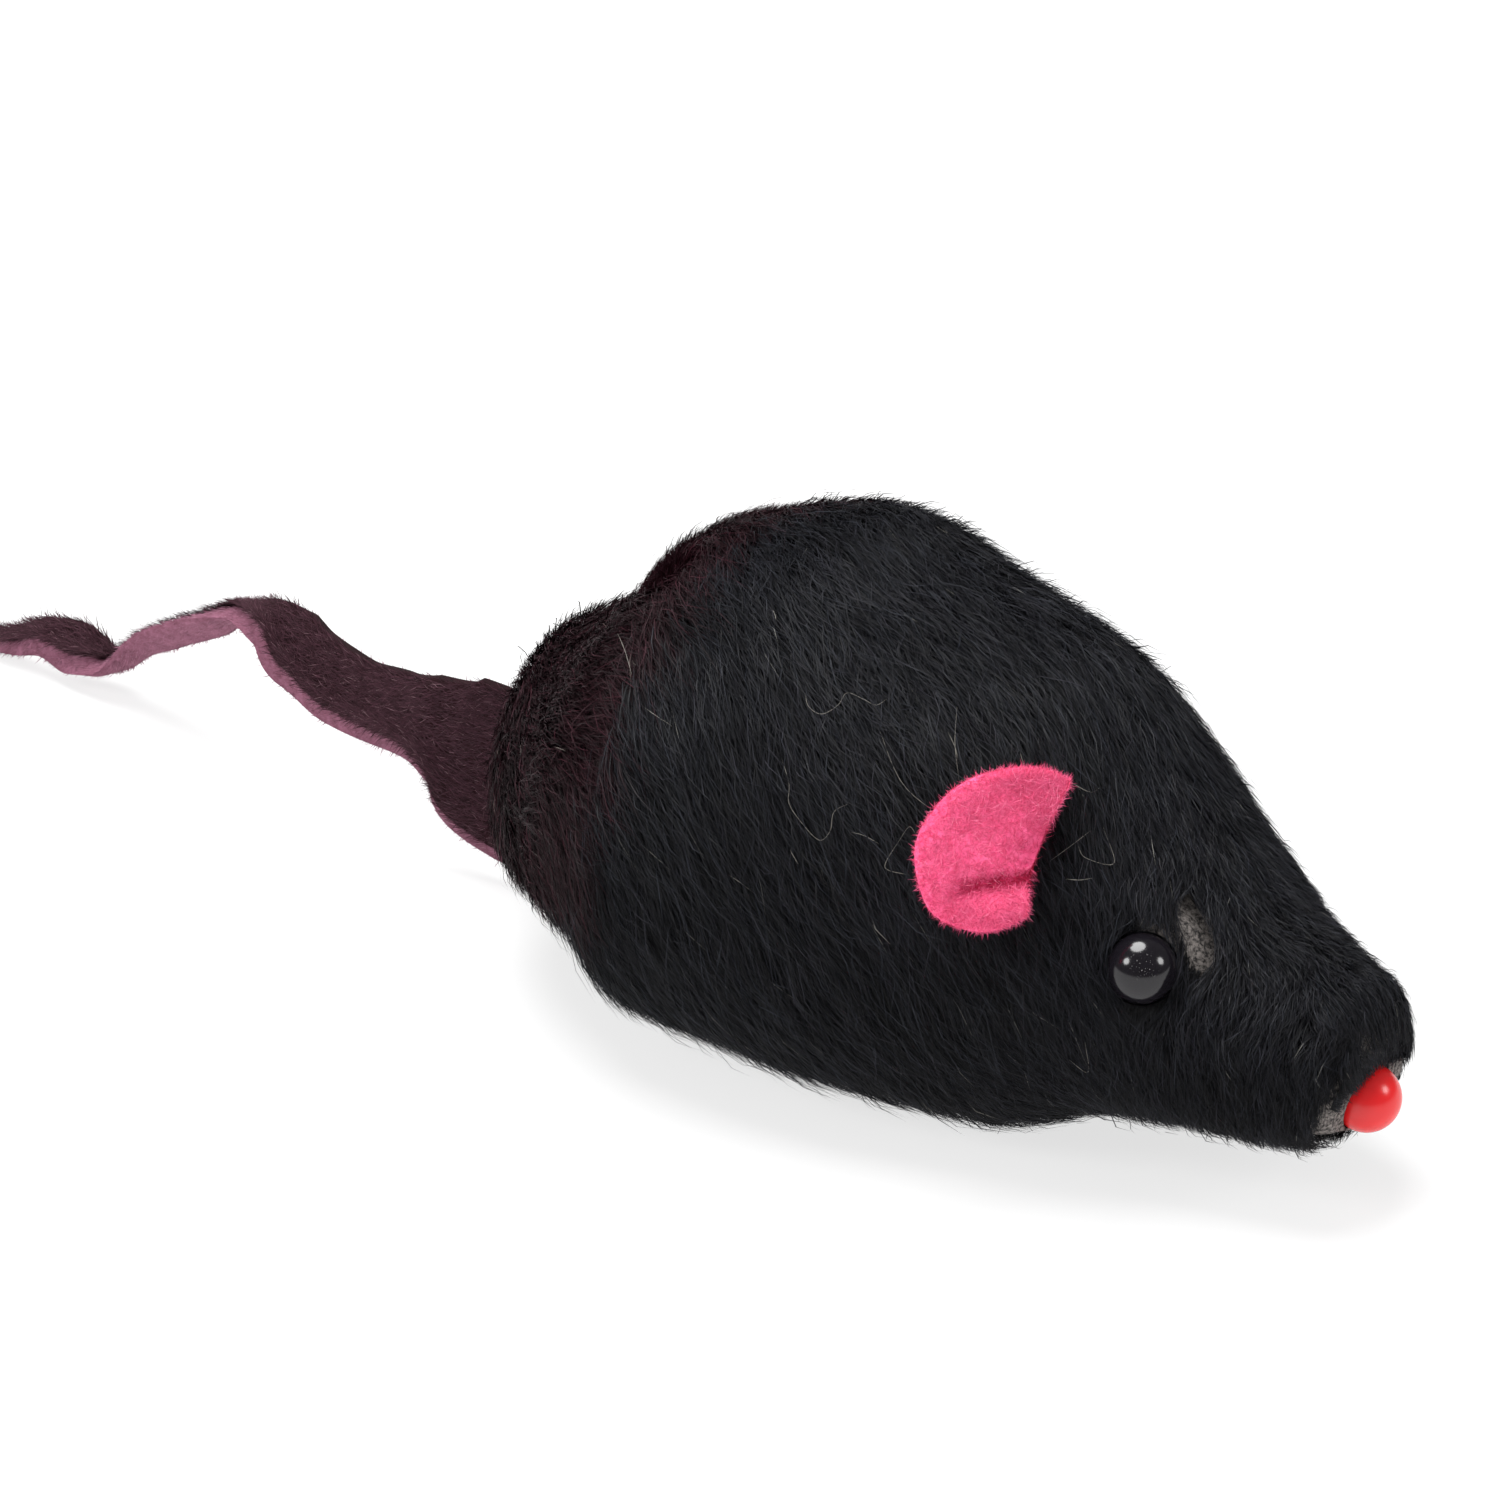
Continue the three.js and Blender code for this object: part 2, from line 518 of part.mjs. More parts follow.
function peltMain() {
  const eyeHoles = atEyes((eye) => barSolid(
    eye(-CUT_OVER), eye(formerInset + CUT_OVER), EYE_RIM_RADIUS + FIT_GAP));
  const noseHole = barSolid(
    muzzle.clone().addScaledVector(muzzleOut, -NOSE_RADIUS - CUT_OVER),
    muzzle.clone().addScaledVector(muzzleOut, CUT_OVER), NOSE_RADIUS + FIT_GAP);
  const bellySeam = boxSolid(
    new THREE.Vector3(-BELLY_SEAM_LENGTH / 2, BELLY_SEAM_OFFSET, -CUT_OVER),
    new THREE.Vector3(BELLY_SEAM_LENGTH / 2, BELLY_SEAM_OFFSET + SEAM_GAP, PELT_THICKNESS + CUT_OVER));
  return bodySolid(MAIN_OUTLINE, 0, BODY_SIDES, BODY_STATIONS)
    .intersect(slab(seamX + SEAM_GAP, far))
    .intersect(behindMuzzle(0))
    .subtract(wrapped)
    .subtract(eyeHoles)
    .subtract(earGroove(rightEar))
    .subtract(onLeft(earGroove(leftEar)))
    .subtract(noseHole)
    .subtract(bellySeam)
    .subtract(belowFloor);
}

function peltRump() {
  const slot = TAIL_THICKNESS / 2 + FIT_GAP;
  const tailSlot = boxSolid(
    new THREE.Vector3(-far, -slot, TONGUE_MIDDLE_HEIGHT - TONGUE_HEIGHT / 2 - FIT_GAP),
    new THREE.Vector3(clampBack + CUT_OVER, slot, TONGUE_MIDDLE_HEIGHT + TONGUE_HEIGHT / 2 + FIT_GAP));
  return bodySolid(RUMP_OUTLINE, 0, BODY_SIDES, BODY_STATIONS)
    .intersect(slab(-far, seamX))
    .subtract(wrapped)
    .subtract(tailSlot)
    .subtract(belowFloor);
}
place('pelt_main', toGeometry(peltMain()), furHide);
place('pelt_rump', toGeometry(peltRump()), rumpHide);

// Beads
function beadOn(eye) {
  const shank = barSolid(eye(EYE_SINK), eye(EYE_SINK + SHANK_LENGTH), SHANK_RADIUS);
  return toGeometry(ballSolid(eye(EYE_SINK), EYE_RADIUS).add(shank));
}
place('eye_right', beadOn(rightEye), blackBead);
place('eye_left', mirrored(beadOn(leftEye)), blackBead);
const nose = ballSolid(muzzle, NOSE_RADIUS).add(barSolid(muzzle, stemEnd, SHANK_RADIUS));
place('nose_bead', toGeometry(nose), redBead);

/** How far the ear's felt stands forward: a low dome, and a lobe that rises under the crease. */
function earOpen(up, out) {
  const fall = degToRad(EAR_CREASE_DEGREES);
  const drop = -up - EAR_CREASE_DROP;
  const under = drop * Math.cos(fall) - out * Math.sin(fall);
  const along = drop * Math.sin(fall) + out * Math.cos(fall);
  const lobe = smoothstep(under, 0, EAR_LOBE_WIDTH);
  const fade = 1 - smoothstep(along, EAR_CREASE_LENGTH / 2, EAR_CREASE_LENGTH);
  return EAR_LOBE_RISE * lobe * fade - EAR_DOME * (out / EAR_LENGTH) ** 2;
}

/** An ear on the right: a felt leaf glued in along a short straight root. */
function earGeometry(seat) {
  const places = EAR_REACH_SHARES.map((_, i) => i / (EAR_REACH_SHARES.length - 1));
  const middleSheet = (outward, side) => {
    const turn = side * degToRad(EAR_SPREAD_DEGREES);
    const reach = EAR_LENGTH * shareAt(places, EAR_REACH_SHARES, (side + 1) / 2);
    const root = (side * EAR_ROOT_WIDTH) / 2;
    const up = lerp(root, reach * Math.sin(turn), outward);
    const out = outward * reach * Math.cos(turn);
    const open = earOpen(up, out);
    return seat.point.clone().addScaledVector(seat.up, up).addScaledVector(seat.out, out)
      .addScaledVector(seat.open, open);
  };
  const rings = [];
  for (let i = -ROUND_STEPS; i <= EAR_STEPS; i++) {
    const outward = Math.max(0, i) / EAR_STEPS;
    const turn = i < 0 ? (Math.PI / 2) * (-(i + 0.5) / ROUND_STEPS) : 0;
    const front = [];
    const back = [];
    for (let j = 0; j <= EAR_SIDES; j++) {
      const side = 1 - (2 * j) / EAR_SIDES;
      const point = middleSheet(outward, side);
      const alongOut = middleSheet(outward + END_SHARE, side).sub(middleSheet(outward, side));
      const alongUp = middleSheet(outward, side + END_SHARE).sub(middleSheet(outward, side - END_SHARE));
      const facing = alongOut.cross(alongUp).normalize();
      point.addScaledVector(seat.out, (-EAR_THICKNESS / 2) * Math.sin(turn));
      const deep = (EAR_THICKNESS / 2) * Math.cos(turn);
      front.push(point.clone().addScaledVector(facing, deep));
      back.unshift(point.clone().addScaledVector(facing, -deep));
    }
    rings.push([...front, ...back]);
  }
  return loft(rings, true);
}
place('ear_right', earGeometry(rightEar), pinkFelt);
place('ear_left', mirrored(earGeometry(leftEar)), pinkFelt);

// Tail
const tongueFront = clampFront - FORMER_WALL;
const tongueBack = tailRootX + TAIL_THICKNESS / 2 + HINGE_GAP;
const tongue = boxSolid(
  new THREE.Vector3(tongueBack, -TAIL_THICKNESS / 2, TONGUE_MIDDLE_HEIGHT - TONGUE_HEIGHT / 2),
  new THREE.Vector3(tongueFront, TAIL_THICKNESS / 2, TONGUE_MIDDLE_HEIGHT + TONGUE_HEIGHT / 2),
).subtract(across(clampPin, -CUT_OVER, CUT_OVER, PIN_RADIUS + FIT_GAP));
place('tail_tongue', toGeometry(tongue), tailHide);
const crestGapShare = (TAIL_THICKNESS / 2 + HINGE_GAP) / TAIL_REACH;
const stripSteps = Math.round(TAIL_STEPS * TAIL_CREST_SHARE);
place('tail_strip', tailStretch(0, TAIL_CREST_SHARE - crestGapShare, stripSteps), tailHide);
place('tail_tip', tailStretch(TAIL_CREST_SHARE, 1, TAIL_STEPS - stripSteps), tailHide);

// Catnip bag, packed into the former between the tail clamp and the rattle
const pouchFront = drumBack - FIT_GAP - RIB_THICKNESS - CONTENT_GAP;
const pouch = bodySolid(MAIN_OUTLINE, formerInset + FORMER_WALL + CONTENT_GAP)
  .intersect(slab(Math.max(clampFront + CONTENT_GAP, pouchFront - POUCH_LENGTH), pouchFront));
place('catnip_pouch', toGeometry(pouch), muslin);

// Rattle
const drumInner = DRUM_RADIUS - DRUM_WALL;
const drum = drumBar(DRUM_RADIUS, drumBack, drumBack + DRUM_LENGTH, DRUM_SEGMENTS)
  .subtract(drumBar(drumInner, drumBack + DRUM_WALL, drumBack + DRUM_LENGTH + CUT_OVER, DRUM_SEGMENTS));
const lidBack = drumBack + DRUM_LENGTH;
const lid = drumBar(DRUM_RADIUS, lidBack + LID_GAP, drumFront, DRUM_SEGMENTS)
  .add(drumBar(drumInner - FIT_GAP, lidBack - LID_PLUG, drumFront, DRUM_SEGMENTS));
place('rattle_drum', toGeometry(drum), clearPlastic);
place('rattle_lid', toGeometry(lid), clearPlastic);
const ballOrbit = drumInner - BALL_RADIUS - FIT_GAP;
const ballX = (drumBack + DRUM_WALL + lidBack - LID_PLUG) / 2;
[-1, 0, 1].forEach((side, i) => {
  const angle = degToRad(side * BALL_SPREAD_DEGREES);
  const centre = drumMiddle.clone().setX(ballX)
    .addScaledVector(Y, ballOrbit * Math.sin(angle)).addScaledVector(Z, -ballOrbit * Math.cos(angle));
  place(`rattle_ball_${i + 1}`, toGeometry(ballSolid(centre, BALL_RADIUS)), steel);
});

// Where the moving pieces turn and slide
const crest = tailStation(TAIL_CREST_SHARE);
const onLeftPoint = (point) => point.clone().setY(-point.y);
mouse.userData.joints = {
  tail_swing: { at: tailPoint(0), axis: Z },
  tail_curl: { at: crest.centre, axis: crest.wide },
  ear_right_fold: { at: rightEar.point, axis: rightEar.up },
  ear_left_fold: { at: onLeftPoint(leftEar.point), axis: onLeftPoint(leftEar.up).negate() },
  rattle_travel: (lidBack - LID_PLUG - drumBack - DRUM_WALL) / 2 - BALL_RADIUS - FIT_GAP,
};

export default mouse;
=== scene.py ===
"""A small fur catnip mouse for a cat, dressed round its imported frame.

The pelt is a thin hide with pile, the eyes and the nose are moulded beads, the ears are leaves of felt,
and the tail is a strip of hide. Lengths are in metres, +X is towards the nose, +Y is the mouse's left
and +Z is up. The body's form is one smooth surface, which the hide and every strand of fur follow.
"""

import logging
import math
from collections.abc import Callable
from dataclasses import dataclass, field
from enum import Enum
from functools import cached_property

import bpy
import numpy as np
from mathutils import Matrix, Vector
from mathutils.bvhtree import BVHTree


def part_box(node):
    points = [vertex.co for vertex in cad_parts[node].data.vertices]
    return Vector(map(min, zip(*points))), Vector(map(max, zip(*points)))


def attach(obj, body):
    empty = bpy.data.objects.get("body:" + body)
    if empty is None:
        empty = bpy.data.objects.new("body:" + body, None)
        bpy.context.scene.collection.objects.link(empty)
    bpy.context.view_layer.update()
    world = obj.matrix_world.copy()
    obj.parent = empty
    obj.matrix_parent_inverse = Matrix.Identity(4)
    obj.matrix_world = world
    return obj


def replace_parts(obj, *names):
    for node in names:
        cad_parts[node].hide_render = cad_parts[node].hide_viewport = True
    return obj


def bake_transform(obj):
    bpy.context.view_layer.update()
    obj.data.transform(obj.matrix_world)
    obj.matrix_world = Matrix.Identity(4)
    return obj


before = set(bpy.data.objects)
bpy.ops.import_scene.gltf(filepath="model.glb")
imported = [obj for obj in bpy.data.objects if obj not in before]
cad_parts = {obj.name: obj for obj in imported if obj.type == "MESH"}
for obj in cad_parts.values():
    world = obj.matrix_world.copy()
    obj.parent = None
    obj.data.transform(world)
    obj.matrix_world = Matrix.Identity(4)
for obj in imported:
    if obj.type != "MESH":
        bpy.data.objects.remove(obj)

LOG = logging.getLogger("catnip_mouse")
MM = 0.001
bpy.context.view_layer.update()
SEED = 20
STRAND_MAP = "OFBake"  # the map that strands read their dye, or the ear fuzz's painted crease shade, and their tone from; the tone fades to painted shade at the root
CREASE_SHADE_MAP = "Crease"  # the ear's map: how much painted shade a place gets, in the crease and in the hollow at the root
STRIP_MAP = "Strip"  # the tail's map: round its section and along it
STRAND_CLEARANCE = 0.05 * MM  # of the fur over the floor
HIDE_CLEARANCE = 0.25 * MM
FORMER_GAP = 0.3 * MM  # between pelt and former, and again between former and bag
FORMER_WALL = 1.2 * MM
LATTICE_SIZE = 4096  # of the noise's random numbers
LATTICE_PRIMES = (73856093, 19349663, 83492791)  # spread neighbouring cubes over them
CELL_COUNT = 8192  # of the clumps' random numbers
CELL_PRIMES = (7919, 104729)  # spread neighbouring clumps over them
GLINT_START = 0.75  # the tone above which a strand's colour turns to its glint
X_AXIS = np.array([1.0, 0.0, 0.0])
Y_AXIS = np.array([0.0, 1.0, 0.0])
Z_AXIS = np.array([0.0, 0.0, 1.0])


class Side(Enum):
    """The mouse's two sides, with the sign of Y there."""

    RIGHT = -1
    LEFT = 1


class Body(Enum):
    """The bodies of the frame that pieces ride on."""

    TRUNK = "body"
    TAIL_ROOT = "tail_root"
    TAIL_END = "tail_end"
    RIGHT_EAR = "right_ear"
    LEFT_EAR = "left_ear"


# Small functions for arrays


def lerp(start: np.ndarray, end: np.ndarray, share: np.ndarray) -> np.ndarray:
    """Straight blend from start to end by share."""
    return start + (end - start) * share


def smoothstep(value: np.ndarray, low: float, high: float) -> np.ndarray:
    """Eased step from 0 at low to 1 at high: 3s^2 - 2s^3 of the clamped share s."""
    share = np.clip((value - low) / (high - low), 0, 1)
    return share * share * (3 - 2 * share)


def unit(vectors: np.ndarray) -> np.ndarray:
    """Vectors divided by their lengths."""
    length = np.linalg.norm(vectors, axis=-1, keepdims=True)
    return vectors / np.maximum(length, 1e-12)


def smooth_shares(places: tuple, shares: tuple, at: np.ndarray) -> np.ndarray:
    """A monotone cubic through shares: flat at each high and low, harmonic mean slopes elsewhere.

    Args:
        places: where the shares stand, rising.
        shares: the values there.
        at: where the curve is read.

    Returns:
        The curve's values.
    """
    x = np.asarray(places, float)
    y = np.asarray(shares, float)
    slope = np.diff(y) / np.diff(x)
    product = slope[:-1] * slope[1:]
    total = np.where(product > 0, slope[:-1] + slope[1:], 1.0)
    inner = np.where(product > 0, 2 * product / total, 0.0)
    tangent = np.concatenate([slope[:1], inner, slope[-1:]])
    at = np.asarray(at, float)
    i = np.clip(np.searchsorted(x, at, side="left") - 1, 0, len(x) - 2)
    span = x[i + 1] - x[i]
    s = np.clip((at - x[i]) / span, 0, 1)
    start = (1 + 2 * s) * (1 - s) ** 2 * y[i] + s * (1 - s) ** 2 * span * tangent[i]
    end = s * s * (3 - 2 * s) * y[i + 1] + s * s * (s - 1) * span * tangent[i + 1]
    return start + end


def value_noise(points: np.ndarray, pitch: float, seed: int) -> np.ndarray:
    """Smooth noise from -1 to 1: random values at the corners of cubes of that pitch, blended inside.

    Args:
        points: places, as rows of x, y and z.
        pitch: the cubes' edge.
        seed: picks the pattern.

    Returns:
        One value for each place.
    """
    lattice = np.random.default_rng(seed).uniform(-1, 1, LATTICE_SIZE)
    cell = np.floor(points / pitch).astype(np.int64)
    part = points / pitch - cell
    part = part * part * (3 - 2 * part)
    total = np.zeros(len(points))
    for corner in np.ndindex(2, 2, 2):
        near = cell + np.array(corner)
        key = np.bitwise_xor.reduce(near * np.array(LATTICE_PRIMES), axis=1)
        share = np.prod(np.where(np.array(corner) == 1, part, 1 - part), axis=1)
        total += share * lattice[key % len(lattice)]
    return total


# Meshes from arrays


def mesh_object(name: str, points: np.ndarray, corners: np.ndarray, sizes: np.ndarray) -> bpy.types.Object:
    """A smooth shaded mesh from flat arrays.

    Args:
        name: the object's name.
        points: vertices, as rows.
        corners: the faces' vertices, one after another.
        sizes: how many corners each face has.

    Returns:
        The new object, in the scene.
    """
    mesh = bpy.data.meshes.new(name)
    mesh.vertices.add(len(points))
    mesh.vertices.foreach_set("co", np.ascontiguousarray(points, np.float32).ravel())
    mesh.loops.add(len(corners))
    mesh.loops.foreach_set("vertex_index", np.ascontiguousarray(corners, np.int32))
    mesh.polygons.add(len(sizes))
    starts = np.concatenate([[0], np.cumsum(sizes)[:-1]])
    mesh.polygons.foreach_set("loop_start", starts.astype(np.int32))
    mesh.polygons.foreach_set("use_smooth", np.ones(len(sizes), bool))
    mesh.update(calc_edges=True)
    mesh.validate()
    made = bpy.data.objects.new(name, mesh)
    bpy.context.scene.collection.objects.link(made)
    return made


def set_map(piece: bpy.types.Object, name: str, places: np.ndarray) -> None:
    """Gives a piece a UV map from one place for each face corner."""
    layer = piece.data.uv_layers.new(name=name)
    layer.data.foreach_set("uv", np.ascontiguousarray(places, np.float32).ravel())


def face_corners(piece: bpy.types.Object) -> np.ndarray:
    """The vertex number at each face corner."""
    corners = np.empty(len(piece.data.loops), int)
    piece.data.loops.foreach_get("vertex_index", corners)
    return corners


def face_out(piece: bpy.types.Object) -> None:
    """Turns a closed mesh right side out where its volume comes out negative."""
    mesh = piece.data
    mesh.calc_loop_triangles()
    points = np.empty(3 * len(mesh.vertices))
    mesh.vertices.foreach_get("co", points)
    corners = np.empty(3 * len(mesh.loop_triangles), int)
    mesh.loop_triangles.foreach_get("vertices", corners)
    a, b, c = np.swapaxes(points.reshape(-1, 3)[corners.reshape(-1, 3)], 0, 1)
    if np.einsum("ij,ij->i", a, np.cross(b, c)).sum() < 0:
        mesh.flip_normals()


def kept_above(points: np.ndarray, height: float) -> np.ndarray:
    """Points, none of them lower than a height over the floor."""
    points[..., 2] = np.maximum(points[..., 2], height)
    return points


def grid_quads(rows: int, columns: int, closed_rows: bool) -> np.ndarray:
    """Quads over a grid whose columns close on themselves.

    Args:
        rows: how many rings there are.
        columns: points in a ring.
        closed_rows: whether the last ring joins the first.

    Returns:
        Rows of four vertex numbers.
    """
    i = np.arange(rows if closed_rows else rows - 1)[:, None]
    j = np.arange(columns)[None, :]
    after = (i + 1) % rows
    side = (j + 1) % columns
    quads = [i * columns + j, i * columns + side, after * columns + side, after * columns + j]
    return np.stack(np.broadcast_arrays(*quads), -1).reshape(-1, 4)


def rings_object(name: str, rings: np.ndarray, closed_rows: bool = False) -> bpy.types.Object:
    """A closed surface through rings. Open ends get a middle point and a fan.

    Args:
        name: the object's name.
        rings: points, as rings by columns by three.
        closed_rows: whether the last ring joins the first.

    Returns:
        The new object.
    """
    rows, columns = rings.shape[:2]
    points = rings.reshape(-1, 3)
    quads = grid_quads(rows, columns, closed_rows)
    corners = [quads.ravel()]
    sizes = [np.full(len(quads), 4)]
    if not closed_rows:
        j = np.arange(columns)
        side = (j + 1) % columns
        first = np.stack([np.full(columns, len(points)), side, j], 1)
        end = (rows - 1) * columns
        last = np.stack([np.full(columns, len(points) + 1), end + j, end + side], 1)
        points = np.concatenate([points, [rings[0].mean(0), rings[-1].mean(0)]])
        corners += [first.ravel(), last.ravel()]
        sizes += [np.full(2 * columns, 3)]
    return mesh_object(name, points, np.concatenate(corners), np.concatenate(sizes))


def lathe_object(
    name: str, profile: np.ndarray, origin: np.ndarray, axis: np.ndarray, sides: int,
) -> bpy.types.Object:
    """A profile of radius and height turned about an axis: origin + axis h + r (a cos + b sin).

    Args:
        name: the object's name.
        profile: rows of radius and height, from the front to the back.
        origin: the place of height zero.
        axis: the way that height rises.
        sides: points round the axis.

    Returns:
        The new object, closed at both ends.
    """
    across = unit(np.cross(axis, Z_AXIS if abs(axis[2]) < 0.9 else X_AXIS))
    other = np.cross(axis, across)
    turn = -np.arange(sides) * 2 * np.pi / sides
    spokes = np.cos(turn)[:, None] * across + np.sin(turn)[:, None] * other
    rings = origin + profile[:, 1, None, None] * axis + profile[:, 0, None, None] * spokes
    return rings_object(name, rings)


def cut_away(piece: bpy.types.Object, cutters: list) -> None:
    """Cuts closed cutters out of a piece, applies the result and deletes them.

    Args:
        piece: the piece that stays.
        cutters: closed objects.
    """
    for cutter in cutters:
        modifier = piece.modifiers.new("cut", "BOOLEAN")
        modifier.operation = "DIFFERENCE"
        modifier.solver = "EXACT"
        modifier.object = cutter
    bpy.context.view_layer.update()
    graph = bpy.context.evaluated_depsgraph_get()
    cut = bpy.data.meshes.new_from_object(piece.evaluated_get(graph))
    piece.modifiers.clear()
    piece.data = cut
    for cutter in cutters:
        bpy.data.objects.remove(cutter)


def wear(piece: bpy.types.Object, material: bpy.types.Material) -> None:
    """Gives a piece one material."""
    piece.data.materials.clear()
    piece.data.materials.append(material)


def finished(
    piece: bpy.types.Object, body: Body, material: bpy.types.Material,
) -> bpy.types.Object:
    """Finishes a rigid piece and reports it.

    Args:
        piece: the piece.
        body: the body that it rides on.
        material: its material.

    Returns:
        The piece.
    """
    wear(piece, material)
    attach(piece, body.value)
    LOG.info("%s: %d faces on %s", piece.name, len(piece.data.polygons), body.value)
    return piece


# The body's form


@dataclass(frozen=True)
class Outline:
    """Shares of the body's length, width and height along it, from rump to snout."""

    along_shares: tuple
    width_shares: tuple
    top_shares: tuple
    belly_shares: tuple


MAIN_OUTLINE = Outline(
    along_shares=(0, 0.05, 0.1, 0.145, 0.205, 0.295, 0.385, 0.47, 0.645, 0.78, 0.89, 1),
    width_shares=(0.44, 0.57, 0.7, 0.79, 0.875, 0.985, 0.99, 0.96, 0.78, 0.585, 0.42, 0.29),
    top_shares=(0.485, 0.64, 0.69, 0.755, 0.895, 0.98, 1, 0.95, 0.865, 0.645, 0.49, 0.405),
    belly_shares=(0.18, 0.163, 0.153, 0.14, 0.11, 0, 0, 0, 0, 0.107, 0.116, 0.14),
)
RUMP_OUTLINE = Outline(
    along_shares=(0, 0.05, 0.1, 0.145, 0.205, 1),
    width_shares=(0.4, 0.515, 0.66, 0.77, 0.85, 0.85),
    top_shares=(0.46, 0.634, 0.663, 0.72, 0.8, 0.8),
    belly_shares=(0.18, 0.163, 0.153, 0.14, 0.11, 0.11),
)


@dataclass(frozen=True)
class Seat:
    """A place on the body, with the way out of the fur and the way up it."""

    point: np.ndarray
    out: np.ndarray
    up: np.ndarray


@dataclass(frozen=True)
class BodyForm:
    """The body over its fur, as a surface of the share along it and the angle round it.

    Angle 0 is the left flank and a quarter turn is the spine. A section is half an ellipse above its
    widest line and a fuller curve below it, and rounds off towards both ends of the body.
    """

    outline: Outline
    length: float = 62 * MM
    width: float = 33.5 * MM
    height: float = 31.5 * MM
    rump_reach: float = 30.5 * MM  # from the origin back to the rump's end
    belly_cut: float = 0.5 * MM  # by which the fur is pressed flat on the floor
    pelt: float = 3.6 * MM  # hide and pile together
    snout_pelt: float = 1.8 * MM
    pelt_thins_share: float = 0.6  # along the body, where the pelt starts to thin
    girth_share: float = 0.42  # of a section's height, where it is widest
    rump_round_share: float = 0.07  # of the length, over which the rump's end rounds off
    snout_round_share: float = 0.045
    flank_fullness: float = 0.9  # powers: a lower one makes a fuller section
    belly_fullness: float = 0.62
    samples: int = 6000

    @cached_property
    def table(self) -> dict:
        """The section's measures at even shares, for quick reading."""
        t = np.linspace(0, 1, self.samples)
        out = self.outline

        def rounded(edge: np.ndarray) -> np.ndarray:
            return np.sqrt(np.maximum(0, 1 - (1 - np.minimum(1, edge)) ** 2))

        ends = rounded(t / self.rump_round_share) * rounded((1 - t) / self.snout_round_share)
        top = smooth_shares(out.along_shares, out.top_shares, t) * self.height
        belly = smooth_shares(out.along_shares, out.belly_shares, t) * self.height - self.belly_cut
        girth = belly + self.girth_share * (top - belly)
        half = smooth_shares(out.along_shares, out.width_shares, t) * self.width / 2
        return {
            "t": t,
            "girth": girth,
            "half": ends * half,
            "above": ends * (top - girth),
            "below": ends * (girth - belly),
        }

    def along(self, t: np.ndarray) -> np.ndarray:
        """The place along X at a share."""
        return t * self.length - self.rump_reach

    def share_at(self, x: float) -> float:
        """The share along the body at a place along X."""
        return (x + self.rump_reach) / self.length

    def layer_depth(self, t: np.ndarray, inset: float) -> np.ndarray:
        """Depth of a layer inside the fur. The pelt thins towards the snout and the rest doesn't.

        Args:
            t: shares along the body.
            inset: how deep the layer lies where the pelt is thick.

        Returns:
            Its depth at each share.
        """
        pelt = min(inset, self.pelt)
        thin = pelt * self.snout_pelt / self.pelt
        return lerp(pelt, thin, smoothstep(t, self.pelt_thins_share, 1)) + inset - pelt

    def point(self, t: np.ndarray, angle: np.ndarray, depth: np.ndarray = 0.0) -> np.ndarray:
        """Points of the form: y = half |cos|^flank, z = girth + above sin, or girth - below |sin|^belly.

        Args:
            t: shares along the body.
            angle: angles round it.
            depth: how far inside the fur's outline.

        Returns:
            Rows of x, y and z.
        """
        t, angle, depth = np.broadcast_arrays(t, angle, depth)
        table = self.table
        half = np.maximum(0, np.interp(t, table["t"], table["half"]) - depth)
        above = np.maximum(0, np.interp(t, table["t"], table["above"]) - depth)
        below = np.maximum(0, np.interp(t, table["t"], table["below"]) - depth)
        across, upward = np.cos(angle), np.sin(angle)
        y = half * np.sign(across) * np.abs(across) ** self.flank_fullness
        drop = -below * np.abs(upward) ** self.belly_fullness
        z = np.interp(t, table["t"], table["girth"]) + np.where(upward > 0, above * upward, drop)
        return np.stack([self.along(t), y, z], -1)

    def slopes(self, t: np.ndarray, angle: np.ndarray) -> tuple:
        """The surface's tangents, as differences over a small step either way.

        Args:
            t: shares along the body.
            angle: angles round it.

        Returns:
            The tangents for a unit of share and of angle, and the unit way out.
        """
        step = 1e-3
        ahead = (self.point(t + step, angle) - self.point(t - step, angle)) / (2 * step)
        around = (self.point(t, angle + step) - self.point(t, angle - step)) / (2 * step)
        return ahead, around, unit(np.cross(around, ahead))

    def seat(self, share: float, rise: float, side: Side) -> Seat:
        """A place on the body.

        Args:
            share: how far along the body.
            rise: degrees up a section from the flank.
            side: left or right.

        Returns:
            The seat there.
        """
        turn = math.radians(rise)
        angle = np.array(turn if side is Side.LEFT else np.pi - turn)
        _, around, out = self.slopes(np.array(share), angle)
        up = unit(around if side is Side.LEFT else -around)
        return Seat(self.point(np.array(share), angle), out, up)


FORM = BodyForm(MAIN_OUTLINE)
RUMP_FORM = BodyForm(RUMP_OUTLINE)


@dataclass(frozen=True)
class Muzzle:
    """The flat cut across the snout that the nose sits in."""

    tilt: float = 25.0  # degrees that the cut leans from upright
    height_share: float = 0.208
    setback: float = 1.6 * MM

    @property
    def middle(self) -> np.ndarray:
        """The nose's place."""
        return np.array([FORM.length - FORM.rump_reach - self.setback, 0, self.height_share * FORM.height])

    @property
    def out(self) -> np.ndarray:
        """The way out of the cut, forward and down."""
        lean = math.radians(self.tilt)
        return np.array([math.cos(lean), 0, -math.sin(lean)])

    @property
    def up(self) -> np.ndarray:
        """The way up the cut."""
        lean = math.radians(self.tilt)
        return np.array([math.sin(lean), 0, math.cos(lean)])

    def ahead_of(self, points: np.ndarray) -> np.ndarray:
        """How far points lie in front of the cut."""
        return (points - self.middle) @ self.out

    def ring(self, radius: float, depth: float, angle: np.ndarray) -> np.ndarray:
        """A circle about the nose: middle - depth out + radius (Y cos + up sin)."""
        spokes = np.cos(angle)[:, None] * Y_AXIS + np.sin(angle)[:, None] * self.up
        return self.middle - depth * self.out + radius * spokes


